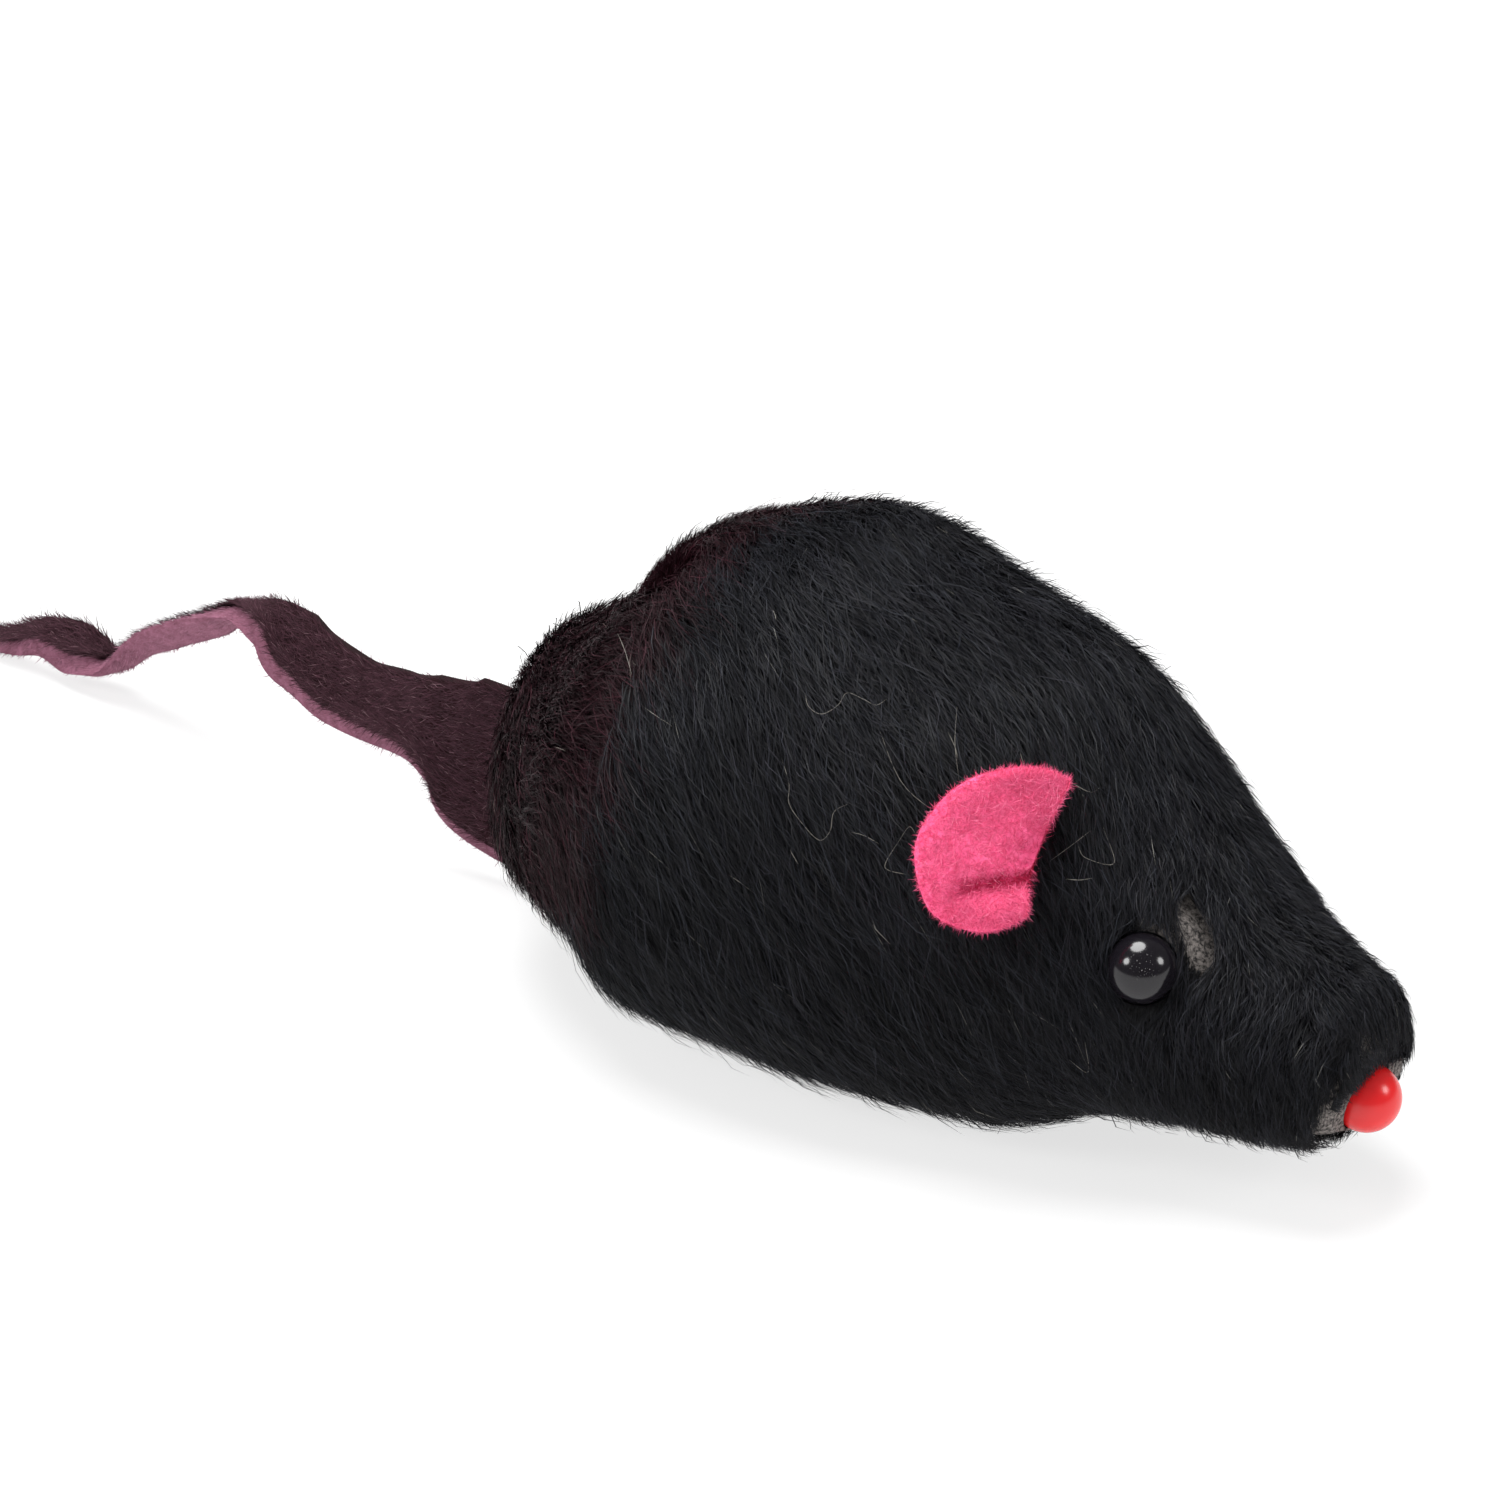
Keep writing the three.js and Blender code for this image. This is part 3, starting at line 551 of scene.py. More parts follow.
MUZZLE = Muzzle()
LIP = Muzzle(tilt=10.5)  # the hide's soft edge, which lies back a little above the nose
SEAM_SHARE = 0.205  # where the main pelt ends and the rump pelt begins
EYE_SHARE = 0.81  # along the body
EYE_RISES = {Side.RIGHT: 32.5, Side.LEFT: 12}  # degrees up a section from the flank
EYE_SEATS = {side: FORM.seat(EYE_SHARE, rise, side) for side, rise in EYE_RISES.items()}
EYE_RADIUS = 2.0 * MM
EYE_SINK = 0.9 * MM  # of the bead's middle under the fur's outline
EYE_HOLE_RADIUS = 2.08 * MM
EYE_RIM_RADIUS = 2.9 * MM  # of the former's rim round an eye
EYE_RIM_SINK = 1.1 * MM
NOSE_RADIUS = 2.0 * MM
SHANK_RADIUS = 0.8 * MM


# Materials


class NodeSheet:
    """A material's or group's node tree, with short calls to add and join nodes."""

    def __init__(self, tree: bpy.types.NodeTree) -> None:
        """Starts on an empty tree."""
        self.tree = tree
        tree.nodes.clear()

    def add(self, kind: str, inputs: dict | None = None, **settings: object) -> bpy.types.Node:
        """Adds a node, sets its properties, and sets or links its inputs.

        Args:
            kind: Blender's node type.
            inputs: values or output sockets by input name or number.
            settings: properties of the node.

        Returns:
            The node.
        """
        node = self.tree.nodes.new(kind)
        for name, value in settings.items():
            setattr(node, name, value)
        for name, value in (inputs or {}).items():
            self.feed(node.inputs[name], value)
        return node

    def feed(self, socket: bpy.types.NodeSocket, value: object) -> None:
        """Links an input to a socket, or sets it to a value."""
        if isinstance(value, bpy.types.NodeSocket):
            self.tree.links.new(value, socket)
        else:
            socket.default_value = value

    def ramp(self, factor: bpy.types.NodeSocket, stops: list) -> bpy.types.NodeSocket:
        """A colour ramp.

        Args:
            factor: what it reads.
            stops: pairs of a place and a colour.

        Returns:
            Its colour.
        """
        node = self.add("ShaderNodeValToRGB", {"Fac": factor})
        elements = node.color_ramp.elements
        while len(elements) < len(stops):
            elements.new(1.0)
        for element, (place, colour) in zip(elements, stops):
            element.position = place
            element.color = (*colour, 1.0)
        return node.outputs["Color"]

    def mix(self, factor: object, first: object, second: object) -> bpy.types.NodeSocket:
        """A blend of two colours. Each argument is a value or a socket."""
        first, second = ((*c, 1.0) if isinstance(c, tuple) else c for c in (first, second))
        return self.add("ShaderNodeMix", {0: factor, 6: first, 7: second}, data_type="RGBA").outputs[2]

    def math(self, operation: str, first: object, second: object = 0.0) -> bpy.types.NodeSocket:
        """One sum of two values or sockets."""
        node = self.add("ShaderNodeMath", {0: first, 1: second}, operation=operation)
        return node.outputs[0]

    def object_place(self) -> bpy.types.NodeSocket:
        """The place on the piece, in metres."""
        return self.add("ShaderNodeTexCoord").outputs["Object"]

    def noise(self, place: bpy.types.NodeSocket, scale: float, detail: float = 3.0) -> bpy.types.NodeSocket:
        """Noise from 0 to 1 at so many cycles a metre."""
        inputs = {"Vector": place, "Scale": scale, "Detail": detail, "Roughness": 0.6}
        return self.add("ShaderNodeTexNoise", inputs).outputs["Fac"]

    def rescaled(
        self, value: bpy.types.NodeSocket, low: float, high: float, to_low: float = 0.0, to_high: float = 1.0,
    ) -> bpy.types.NodeSocket:
        """A value, moved from the range low to high onto the range to_low to to_high."""
        ends = {"From Min": low, "From Max": high, "To Min": to_low, "To Max": to_high}
        return self.add("ShaderNodeMapRange", {"Value": value, **ends}).outputs[0]

    def vector(self, operation: str, first: object, second: object) -> bpy.types.NodeSocket:
        """One sum of two vectors."""
        node = self.add("ShaderNodeVectorMath", {0: first, 1: second}, operation=operation)
        return node.outputs["Value" if operation in ("DISTANCE", "DOT_PRODUCT") else "Vector"]

    def relief(self, height: bpy.types.NodeSocket, strength: float, distance: float) -> bpy.types.NodeSocket:
        """The normal of a surface with a height."""
        inputs = {"Height": height, "Strength": strength, "Distance": distance}
        return self.add("ShaderNodeBump", inputs).outputs["Normal"]

    def map_place(self, name: str) -> tuple:
        """The two coordinates of the place in a UV map."""
        spot = self.add("ShaderNodeUVMap", uv_map=name).outputs["UV"]
        parts = self.add("ShaderNodeSeparateXYZ", {0: spot}).outputs
        return parts["X"], parts["Y"]

    def group(self, tree: bpy.types.NodeTree, inputs: dict) -> bpy.types.Node:
        """Places a node group."""
        return self.add("ShaderNodeGroup", inputs, node_tree=tree)


def fresh_material(name: str) -> tuple:
    """A new material with an empty sheet."""
    material = bpy.data.materials.new(name)
    material.use_nodes = True
    return material, NodeSheet(material.node_tree)


def principled(sheet: NodeSheet, inputs: dict) -> None:
    """Ends a material with one shader."""
    shader = sheet.add("ShaderNodeBsdfPrincipled", inputs)
    sheet.add("ShaderNodeOutputMaterial", {"Surface": shader.outputs["BSDF"]})


class SharedEffects:
    """Node groups that more than one finish uses, built once."""

    def __init__(self) -> None:
        """Builds the groups."""
        self.fibre = self.fibre_group()
        self.strand = self.strand_group()

    @staticmethod
    def new_group(name: str, inputs: dict, outputs: dict) -> tuple:
        """Starts a node group.

        Args:
            name: its name.
            inputs: socket types by input name.
            outputs: socket types by output name.

        Returns:
            The group, its sheet and its input node.
        """
        tree = bpy.data.node_groups.new(name, "ShaderNodeTree")
        sheet = NodeSheet(tree)
        for socket, kind in inputs.items():
            tree.interface.new_socket(socket, in_out="INPUT", socket_type=kind)
        for socket, kind in outputs.items():
            tree.interface.new_socket(socket, in_out="OUTPUT", socket_type=kind)
        return tree, sheet, sheet.add("NodeGroupInput")

    def fibre_group(self) -> bpy.types.NodeTree:
        """Matted fibres: two noises, one stretched by a third's bend. Puts out a mask and a height."""
        kinds = {"Place": "NodeSocketVector", "Fineness": "NodeSocketFloat", "Contrast": "NodeSocketFloat"}
        tree, sheet, given = self.new_group(
            "matted_fibre", kinds, {"Mask": "NodeSocketFloat", "Height": "NodeSocketFloat"})
        place, fineness = given.outputs["Place"], given.outputs["Fineness"]
        bend = sheet.add("ShaderNodeTexNoise", {
            "Vector": place, "Scale": sheet.math("MULTIPLY", fineness, 0.35), "Detail": 2.0})
        bent = sheet.vector("SUBTRACT", bend.outputs["Color"], (0.5, 0.5, 0.5))
        reach = sheet.math("DIVIDE", 1.6, fineness)
        moved = sheet.add("ShaderNodeVectorMath", {0: bent, "Scale": reach}, operation="SCALE")
        warped = sheet.vector("ADD", place, moved.outputs[0])
        fine = sheet.add("ShaderNodeTexNoise", {
            "Vector": warped, "Scale": fineness, "Detail": 5.0, "Roughness": 0.7})
        centred = sheet.math("SUBTRACT", fine.outputs["Fac"], 0.5)
        spread = sheet.math("MULTIPLY", centred, given.outputs["Contrast"])
        shown = sheet.add("ShaderNodeMath", {0: spread, 1: 0.5}, operation="ADD", use_clamp=True)
        sheet.add("NodeGroupOutput", {"Mask": shown.outputs[0], "Height": fine.outputs["Fac"]})
        return tree

    def strand_group(self) -> bpy.types.NodeTree:
        """Colour of a strand: from the root's painted shade to the tip along the tone, and between two dyes,
        or the ear's pink and painted crease shade, across the map's first coordinate.
        """
        kinds = {
            "Root": "NodeSocketColor", "Tip": "NodeSocketColor",
            "Other Root": "NodeSocketColor", "Other Tip": "NodeSocketColor",
            "Glint": "NodeSocketColor",
        }
        tree, sheet, given = self.new_group("strand_colour", kinds, {"Colour": "NodeSocketColor"})
        dye_or_crease_shade, tone = sheet.map_place(STRAND_MAP)
        first = sheet.mix(tone, given.outputs["Root"], given.outputs["Tip"])
        second = sheet.mix(tone, given.outputs["Other Root"], given.outputs["Other Tip"])
        dyed = sheet.mix(dye_or_crease_shade, first, second)
        bright = sheet.rescaled(tone, GLINT_START, 1.0)
        sheet.add("NodeGroupOutput", {"Colour": sheet.mix(bright, dyed, given.outputs["Glint"])})
        return tree


@dataclass(frozen=True)
class StrandFinish:
    """Pile or fuzz: colours from a root in painted shade to the tip, in two dyes or, on the ears, pink and
    painted crease shade, and a glint on the brightest tips.
    """

    name: str
    root: tuple
    tip: tuple
    other_root: tuple
    other_tip: tuple
    glint: tuple
    roughness: float
    specular: float

    def material(self, effects: SharedEffects) -> bpy.types.Material:
        """Builds the material."""
        material, sheet = fresh_material(self.name)
        colour = sheet.group(effects.strand, {
            "Root": (*self.root, 1), "Tip": (*self.tip, 1),
            "Other Root": (*self.other_root, 1), "Other Tip": (*self.other_tip, 1),
            "Glint": (*self.glint, 1),
        })
        principled(sheet, {
            "Base Color": colour.outputs["Colour"],
            "Roughness": self.roughness,
            "Specular IOR Level": self.specular,
        })
        return material


@dataclass(frozen=True)
class HideFinish:
    """Bare hide or suede: matted fibre in two tones, with a raised nap."""

    name: str
    dark: tuple
    light: tuple
    fineness: float
    contrast: float
    relief: float = 0.12 * MM
    roughness: float = 0.9

    def material(self, effects: SharedEffects) -> bpy.types.Material:
        """Builds the material."""
        material, sheet = fresh_material(self.name)
        place = sheet.object_place()
        fibre = sheet.group(effects.fibre, {
            "Place": place, "Fineness": self.fineness, "Contrast": self.contrast})
        colour = sheet.ramp(fibre.outputs["Mask"], [(0.15, self.dark), (0.85, self.light)])
        principled(sheet, {
            "Base Color": colour, "Roughness": self.roughness, "Specular IOR Level": 0.25,
            "Normal": sheet.relief(fibre.outputs["Height"], 0.8, self.relief),
        })
        return material


@dataclass(frozen=True)
class PeltHideFinish:
    """The dyed hide under the fur, with its bare grey edge at the nose and a bare slit by the eye."""

    name: str
    dyed: tuple
    bare_dark: tuple
    bare_light: tuple
    slit: Seat
    slit_reach: tuple
    edge_reach: float

    def material(self, effects: SharedEffects) -> bpy.types.Material:
        """Builds the material. A bare place is where the scaled distance to its middle is under 1."""
        material, sheet = fresh_material(self.name)
        place = sheet.object_place()
        fibre = sheet.group(effects.fibre, {"Place": place, "Fineness": 4200.0, "Contrast": 3.0})
        bare = sheet.ramp(fibre.outputs["Mask"], [(0.2, self.bare_dark), (0.8, self.bare_light)])
        paler = tuple(1.8 * c for c in self.dyed)
        grain = sheet.ramp(fibre.outputs["Mask"], [(0.2, self.dyed), (0.9, paler)])
        to_slit = sheet.vector("DISTANCE", place, tuple(self.slit.point))
        near, far = self.slit_reach
        slit_mask = sheet.rescaled(to_slit, far, near, 0.0, 0.75)
        offset = sheet.vector("SUBTRACT", place, tuple(LIP.middle))
        ahead = sheet.vector("DOT_PRODUCT", offset, tuple(LIP.out))
        edge_mask = sheet.rescaled(ahead, -1.6 * self.edge_reach, -self.edge_reach)
        masks = sheet.add("ShaderNodeMath", {0: slit_mask, 1: edge_mask}, operation="ADD", use_clamp=True)
        principled(sheet, {
            "Base Color": sheet.mix(masks.outputs[0], grain, bare), "Roughness": 0.92,
            "Normal": sheet.relief(fibre.outputs["Height"], 0.9, 0.15 * MM), "Specular IOR Level": 0.2,
        })
        return material


@dataclass(frozen=True)
class PlasticFinish:
    """Moulded plastic or metal: a faint mottle in colour and roughness, and a fine surface ripple."""

    name: str
    colour: tuple
    roughness: float
    mottle: float = 0.15
    scale: float = 900.0
    relief: float = 0.01 * MM
    metallic: float = 0.0
    dust: float = 0.0  # how strongly pale specks show round dust_at
    dust_at: tuple = (0.0, 0.0, 0.0)
    dust_reach: float = 1.0 * MM

    def material(self, effects: SharedEffects) -> bpy.types.Material:
        """Builds the material."""
        material, sheet = fresh_material(self.name)
        place = sheet.object_place()
        mottle = sheet.noise(place, self.scale)
        colour = sheet.mix(mottle, self.colour, tuple((1 + self.mottle) * c for c in self.colour))
        if self.dust > 0:
            specks = sheet.rescaled(sheet.noise(place, 9000.0, 1.0), 0.66, 0.72)
            away = sheet.vector("DISTANCE", place, self.dust_at)
            patches = sheet.rescaled(away, self.dust_reach, 0.3 * self.dust_reach, 0.0, self.dust)
            colour = sheet.mix(sheet.math("MULTIPLY", specks, patches), colour, (0.35, 0.34, 0.34))
        rough = sheet.rescaled(
            sheet.noise(place, self.scale / 3), 0.0, 1.0,
            self.roughness * (1 - self.mottle), self.roughness * (1 + self.mottle))
        principled(sheet, {
            "Base Color": colour, "Roughness": rough, "Metallic": self.metallic,
            "Normal": sheet.relief(mottle, 0.5, self.relief),
        })
        return material


@dataclass(frozen=True)
class FeltFinish:
    """Needled wool felt: matted fibre in two pinks, small pits painted a deeper pink as shade, and painted
    shade in the crease and the hollow at the root.
    """

    name: str
    # shade is painted shade in the crease and the root's hollow; deep is painted shade in the pits
    shade: tuple
    deep: tuple
    middle: tuple
    pale: tuple

    def material(self, effects: SharedEffects) -> bpy.types.Material:
        """Builds the material."""
        material, sheet = fresh_material(self.name)
        place = sheet.object_place()
        fibre = sheet.group(effects.fibre, {"Place": place, "Fineness": 1700.0, "Contrast": 2.4})
        pits = sheet.add("ShaderNodeTexVoronoi", {"Vector": place, "Scale": 1500.0, "Randomness": 1.0})
        pit = sheet.rescaled(pits.outputs["Distance"], 0.05, 0.3)
        matted = sheet.ramp(fibre.outputs["Mask"], [(0.1, self.middle), (0.9, self.pale)])
        # painted shade: the deep colour darkens the felt in the pits
        pit_shaded = sheet.mix(pit, self.deep, matted)
        # painted shade in the crease and the hollow at the root, read from the crease map
        crease_shade_mask, _ = sheet.map_place(CREASE_SHADE_MAP)
        colour = sheet.mix(sheet.math("MULTIPLY", crease_shade_mask, 0.8), pit_shaded, self.shade)
        height = sheet.math("ADD", fibre.outputs["Height"], sheet.math("MULTIPLY", pit, 0.5))
        principled(sheet, {
            "Base Color": colour, "Roughness": 0.95, "Specular IOR Level": 0.1,
            "Normal": sheet.relief(height, 0.9, 0.18 * MM),
        })
        return material


@dataclass(frozen=True)
class MuslinFinish:
    """Plain woven cotton: warp and weft as two waves, one up where the other is down."""

    name: str
    shade: tuple
    thread: tuple
    pitch: float = 0.45 * MM

    def material(self, effects: SharedEffects) -> bpy.types.Material:
        """Builds the material."""
        material, sheet = fresh_material(self.name)
        place = sheet.object_place()
        waves = [
            sheet.add("ShaderNodeTexWave", {
                "Vector": place, "Scale": 0.31 / self.pitch, "Distortion": 0.6, "Detail": 1.0,
            }, bands_direction=direction).outputs["Fac"]
            for direction in ("X", "Z")
        ]
        weave = sheet.math("MAXIMUM", waves[0], waves[1])
        fibre = sheet.group(effects.fibre, {"Place": place, "Fineness": 2200.0, "Contrast": 1.5})
        tone = sheet.math("MULTIPLY", weave, sheet.math("ADD", fibre.outputs["Mask"], 0.4))
        colour = sheet.ramp(tone, [(0.1, self.shade), (0.9, self.thread)])
        principled(sheet, {
            "Base Color": colour, "Roughness": 0.95, "Normal": sheet.relief(weave, 0.7, 0.1 * MM)})
        return material


# Strands


@dataclass
class Strands:
    """Tapered ribbons, each through stations from its root to its tip, with a place in the strand map.

    A ribbon is a quad between each two stations and a triangle to its tip. Its side is the cross
    product of its run and the way out, turned about the run by twist.
    """

    stations: np.ndarray  # strands by stations by three
    out: np.ndarray
    width: np.ndarray
    twist: np.ndarray
    dye_or_crease_shade: np.ndarray
    tone: np.ndarray

    def taken(self, mask: np.ndarray) -> "Strands":
        """The strands that a mask picks."""
        return Strands(*(getattr(self, name)[mask] for name in self.__dataclass_fields__))

    def build(self, name: str) -> bpy.types.Object:
        """Makes the ribbons as one mesh, with the strand map."""
        count, steps = self.stations.shape[:2]
        along = np.linspace(0, 1, steps)
        run = unit(self.stations[:, -1] - self.stations[:, 0])
        side = unit(np.cross(run, self.out))
        lift = np.cross(side, run)
        across = np.cos(self.twist)[:, None] * side + np.sin(self.twist)[:, None] * lift
        reach = (across * self.width[:, None] / 2)[:, None] * (1 - 0.45 * along[:-1, None] ** 2)
        pairs = np.stack([self.stations[:, :-1] - reach, self.stations[:, :-1] + reach], 2)
        points = np.concatenate([pairs.reshape(count, -1, 3), self.stations[:, -1:]], 1)
        quads = [[k, k + 1, k + 3, k + 2] for k in range(0, 2 * steps - 4, 2)]
        pattern = np.array(sum(quads, []) + [2 * steps - 4, 2 * steps - 3, 2 * steps - 2])
        corners = points.shape[1] * np.arange(count)[:, None] + pattern
        sizes = np.tile([4] * (steps - 2) + [3], count)
        piece = mesh_object(name, points.reshape(-1, 3), corners.ravel(), sizes)
        spread = 0.004
        dye_or_crease_shade = np.clip(self.dye_or_crease_shade, 2 * spread, 1 - 2 * spread)[:, None]
        # painted shade: the tone fades towards each root, as the pile shades itself deep down
        shade = np.clip(self.tone[:, None] * (1 - 0.88 * (1 - along) ** 2.5), 0.01, 0.99)
        u = dye_or_crease_shade + spread * np.where(pattern == 2 * steps - 2, 0, 2 * (pattern % 2) - 1)
        v = shade[:, pattern // 2]
        set_map(piece, STRAND_MAP, np.stack([u, v], -1).reshape(-1, 2))
        return piece


@dataclass(frozen=True)
class Stretch:
    """A named stretch of the coat between two shares along the body."""

    name: str
    start_share: float
    end_share: float
    count: int


@dataclass(frozen=True)
class Nap:
    """Which way the fur lies: the turn, in radians, from straight ahead to onward round the body.

    Places run round a section in half turns: 0 is the left flank, 0.5 the spine, 1 the right flank,
    and both ends are under the belly.
    """

    places: tuple = (-0.5, -0.25, 0, 0.25, 0.5, 0.75, 1, 1.25, 1.5)
    body_turns: tuple = (-0.5, -0.6, -0.35, 0.15, 0.5, 0.6, 0.85, 0.85, 0.6)
    head_turns: tuple = (-1.2, -1.2, -1.2, -0.6, 0.35, 1.2, 1.25, 1.2, 1.2)
    head_start_share: float = 0.66
    head_end_share: float = 0.85

    def turn(self, t: np.ndarray, angle: np.ndarray) -> np.ndarray:
        """The turn at shares along the body and angles round it."""
        place = (angle / np.pi + 0.5) % 2 - 0.5
        head = smoothstep(t, self.head_start_share, self.head_end_share)
        body = smooth_shares(self.places, self.body_turns, place)
        return lerp(body, smooth_shares(self.places, self.head_turns, place), head)


@dataclass(frozen=True)
class Dyeing:
    """Where the coat's maroon dye gives way to black: a ragged line round the rear of the body."""

    rises: tuple = (-90, -20, 3, 17, 27, 40, 50, 62, 74, 92)  # degrees up a section from the flank
    line_shares: tuple = (0.12, 0.15, 0.235, 0.235, 0.27, 0.25, 0.275, 0.285, 0.28, 0.262)
    ragged: float = 1.0 * MM
    strays: float = 0.7 * MM

    def dye_or_crease_shade(self, form: BodyForm, t: np.ndarray, angle: np.ndarray, rng: np.random.Generator) -> np.ndarray:
        """Near 0 for black and near 1 for maroon."""
        degrees = np.degrees((angle + np.pi / 2) % (2 * np.pi) - np.pi / 2)
        line = smooth_shares(self.rises, self.line_shares, 90 - np.abs(degrees - 90))
        place = form.point(t, angle)
        wander = self.ragged * value_noise(place, 3.2 * MM, 9) + rng.normal(0, self.strays, len(t))
        maroon = smoothstep((line - t) * form.length + wander, -0.7 * MM, 0.7 * MM)
        return np.clip(maroon * 0.86 + 0.06 + rng.normal(0, 0.04, len(t)), 0.02, 0.98)


def beside_crest(angle: np.ndarray) -> np.ndarray:
    """1 on the upper sides of the body, 0 on its flanks and on the crest of the back."""
    return smoothstep(np.sin(angle), 0.25, 0.6) * smoothstep(np.abs(angle - np.pi / 2), 0.04, 0.17)


def near_eyes(places: np.ndarray) -> np.ndarray:
    """1 at an eye and fading over some millimetres, where the sewn bead draws the pelt in."""
    apart = [((places - seat.point) ** 2).sum(-1) for seat in EYE_SEATS.values()]
    return np.exp(-np.minimum(*apart) / (3.1 * MM) ** 2)


def over_rims(points: np.ndarray, floor: float) -> np.ndarray:
    """Points, raised where they lie over an eye's rim to no lower than floor along the eye's line."""
    for seat in EYE_SEATS.values():
        offset = points - seat.point
        high = offset @ seat.out
        away = np.linalg.norm(offset - high[..., None] * seat.out, axis=-1)
        near = 1 - smoothstep(away, EYE_RIM_RADIUS + 0.1 * MM, EYE_RIM_RADIUS + 1.3 * MM)
        near = near * (high > -3 * MM)
        points = points + (near * np.maximum(floor - high, 0))[..., None] * seat.out
    return points


@dataclass
class Coat:
    """The fur on one form: where strands root, how long they are and how they are combed."""

    form: BodyForm
    stretches: tuple
    nap: Nap = field(default_factory=Nap)
    dyeing: Dyeing = field(default_factory=Dyeing)
    length: float = 5.6 * MM
    head_length: float = 2.3 * MM
    width: float = 0.064 * MM
    head_width: float = 0.05 * MM
    steps: int = 4  # stations along a strand
    root_depth: float = 1.8 * MM  # under the fur's outline
    head_root_depth: float = 0.95 * MM
    tip_depth: float = 0.3 * MM
    scatter: float = 0.24 * MM  # of the tips' depth
    edge_sink: float = 1.2 * MM  # how much lower the pile lies beside the crest near the rear edge
    edge_shares: tuple = (0.29, 0.21)  # where that starts and is full
    eye_sink: float = 0.8 * MM  # by which the pile is drawn in at an eye
    guard_share: float = 0.04  # of the strands, which stand out above the others
    head_start_share: float = 0.64
    head_end_share: float = 0.9
    clump: float = 1.25 * MM
    pull: float = 0.5  # share by which a clump's tips close up
    under_share: float = 0.4  # of the density, on the underside
    tone: float = 0.17
    pale_share: float = 0.13  # of the strands, a paler shade, which lie across the others
    pale_lift: float = 0.12 * MM
    glint_share: float = 0.0018
    top_limit: float = 2.0  # sine of the highest angle round the body that it grows at
    clear_of: list = field(default_factory=list)  # middle, axis, and how far roots and tips stay off

    def roots(self, stretch: Stretch, rng: np.random.Generator) -> tuple:
        """Random places, even over the surface: a candidate stays with a chance of its area."""
        tries = int(stretch.count * 6)
        t = rng.uniform(stretch.start_share, stretch.end_share, tries)
        angle = rng.uniform(0, 2 * np.pi, tries)
        ahead, around, out = self.form.slopes(t, angle)
        area = np.linalg.norm(np.cross(ahead, around), axis=1)
        area *= lerp(self.under_share, 1.0, smoothstep(out[:, 2], -0.85, -0.3))
        kept = rng.uniform(0, 1, tries) * np.quantile(area, 0.98) < area
        kept &= np.sin(angle) < self.top_limit + rng.normal(0, 0.1, tries)
        places = np.flatnonzero(kept)[: stretch.count]
        return t[places], angle[places]

    def cells(self, t: np.ndarray, angle: np.ndarray, girth: np.ndarray) -> tuple:
        """The clump that each strand belongs to.

        Args:
            t: shares along the body.
            angle: angles round it.
            girth: metres for a radian there.

        Returns:
            Five random numbers of the clump, and the share and the angle of its middle.
        """
        cell_t = np.floor(self.form.along(t) / self.clump)
        cell_a = np.floor(angle * girth / self.clump)
        first, second = (c.astype(np.int64) * p for c, p in zip((cell_t, cell_a), CELL_PRIMES))
        key = (first + second) % CELL_COUNT
        chance = np.random.default_rng(SEED + 1).uniform(-1, 1, (CELL_COUNT, 5))[key]
        middle_x = (cell_t + 0.5 + 0.4 * chance[:, 0]) * self.clump
        middle_a = (cell_a + 0.5 + 0.4 * chance[:, 1]) * self.clump / girth
        return chance, (middle_x + self.form.rump_reach) / self.form.length, middle_a

    def strands(self, stretch: Stretch, rng: np.random.Generator) -> Strands:
        """Combs one stretch of fur.

        A strand starts at its root under the pile and runs along the surface, in shares and angle, by
        its length over the tangents' lengths. It rises from the root's depth to the tip's. Cells about
        as wide as a clump share a bend, and their tips close up towards the cell's middle.

        Args:
            stretch: the part of the body.
            rng: the source of chance.

        Returns:
            The strands.
        """
        t, angle = self.roots(stretch, rng)
        count = len(t)
        head = smoothstep(t, self.head_start_share, self.head_end_share)
        place = self.form.point(t, angle)
        ahead, around, out = self.form.slopes(t, angle)
        reach = np.linalg.norm(ahead, axis=1)
        girth = np.maximum(np.linalg.norm(around, axis=1), MM)
        chance, middle_t, middle_a = self.cells(t, angle, girth)
        length = lerp(self.length, self.head_length, head) * rng.uniform(0.55, 1.25, count)
        wave = 0.24 * value_noise(place, 6 * MM, 5) + 0.16 * value_noise(place, 2.4 * MM, 6)
        pale = rng.uniform(0, 1, count) < self.pale_share
        comb = self.nap.turn(t, angle) + 0.22 * chance[:, 2] + wave + rng.normal(0, 0.13, count) * (1 + pale)
        step_t = length * np.cos(comb) / reach
        step_a = np.clip(length * np.sin(comb) / girth, -0.9, 0.9)
        tip_depth = self.tip_depth + 0.16 * MM * chance[:, 3] + rng.normal(0, 1, count) * self.scatter
        guard = rng.uniform(0, 1, count) < self.guard_share
        tip_depth -= guard * rng.uniform(0.15, 0.75, count) * MM + pale * self.pale_lift
        tip_depth = lerp(tip_depth, tip_depth * 0.7, head)
        tip_depth += self.edge_sink * beside_crest(angle) * smoothstep(t, *self.edge_shares)
        drawn_in = self.eye_sink * near_eyes(place)
        tip_depth += drawn_in
        root_depth = lerp(self.root_depth, self.head_root_depth, head) + 0.7 * drawn_in
        curl = rng.normal(0, 0.12, count) * (1 + pale)
        to_t = self.pull * np.clip(t - middle_t, -0.03, 0.03)
        to_a = self.pull * np.clip(angle - middle_a, -0.2, 0.2)
        points = []
        for share in np.linspace(0, 1, self.steps):
            bow = 2 * share * (1 - share) * curl
            here_t = t + share * step_t - bow * step_a * girth / reach - share ** 2 * to_t
            here_a = angle + share * step_a + bow * step_t * reach / girth - share ** 2 * to_a
            depth = lerp(root_depth, tip_depth, 1 - (1 - share) ** (2 + pale))
            points.append(self.form.point(np.clip(here_t, 0, 1 - 1e-4), here_a, depth))
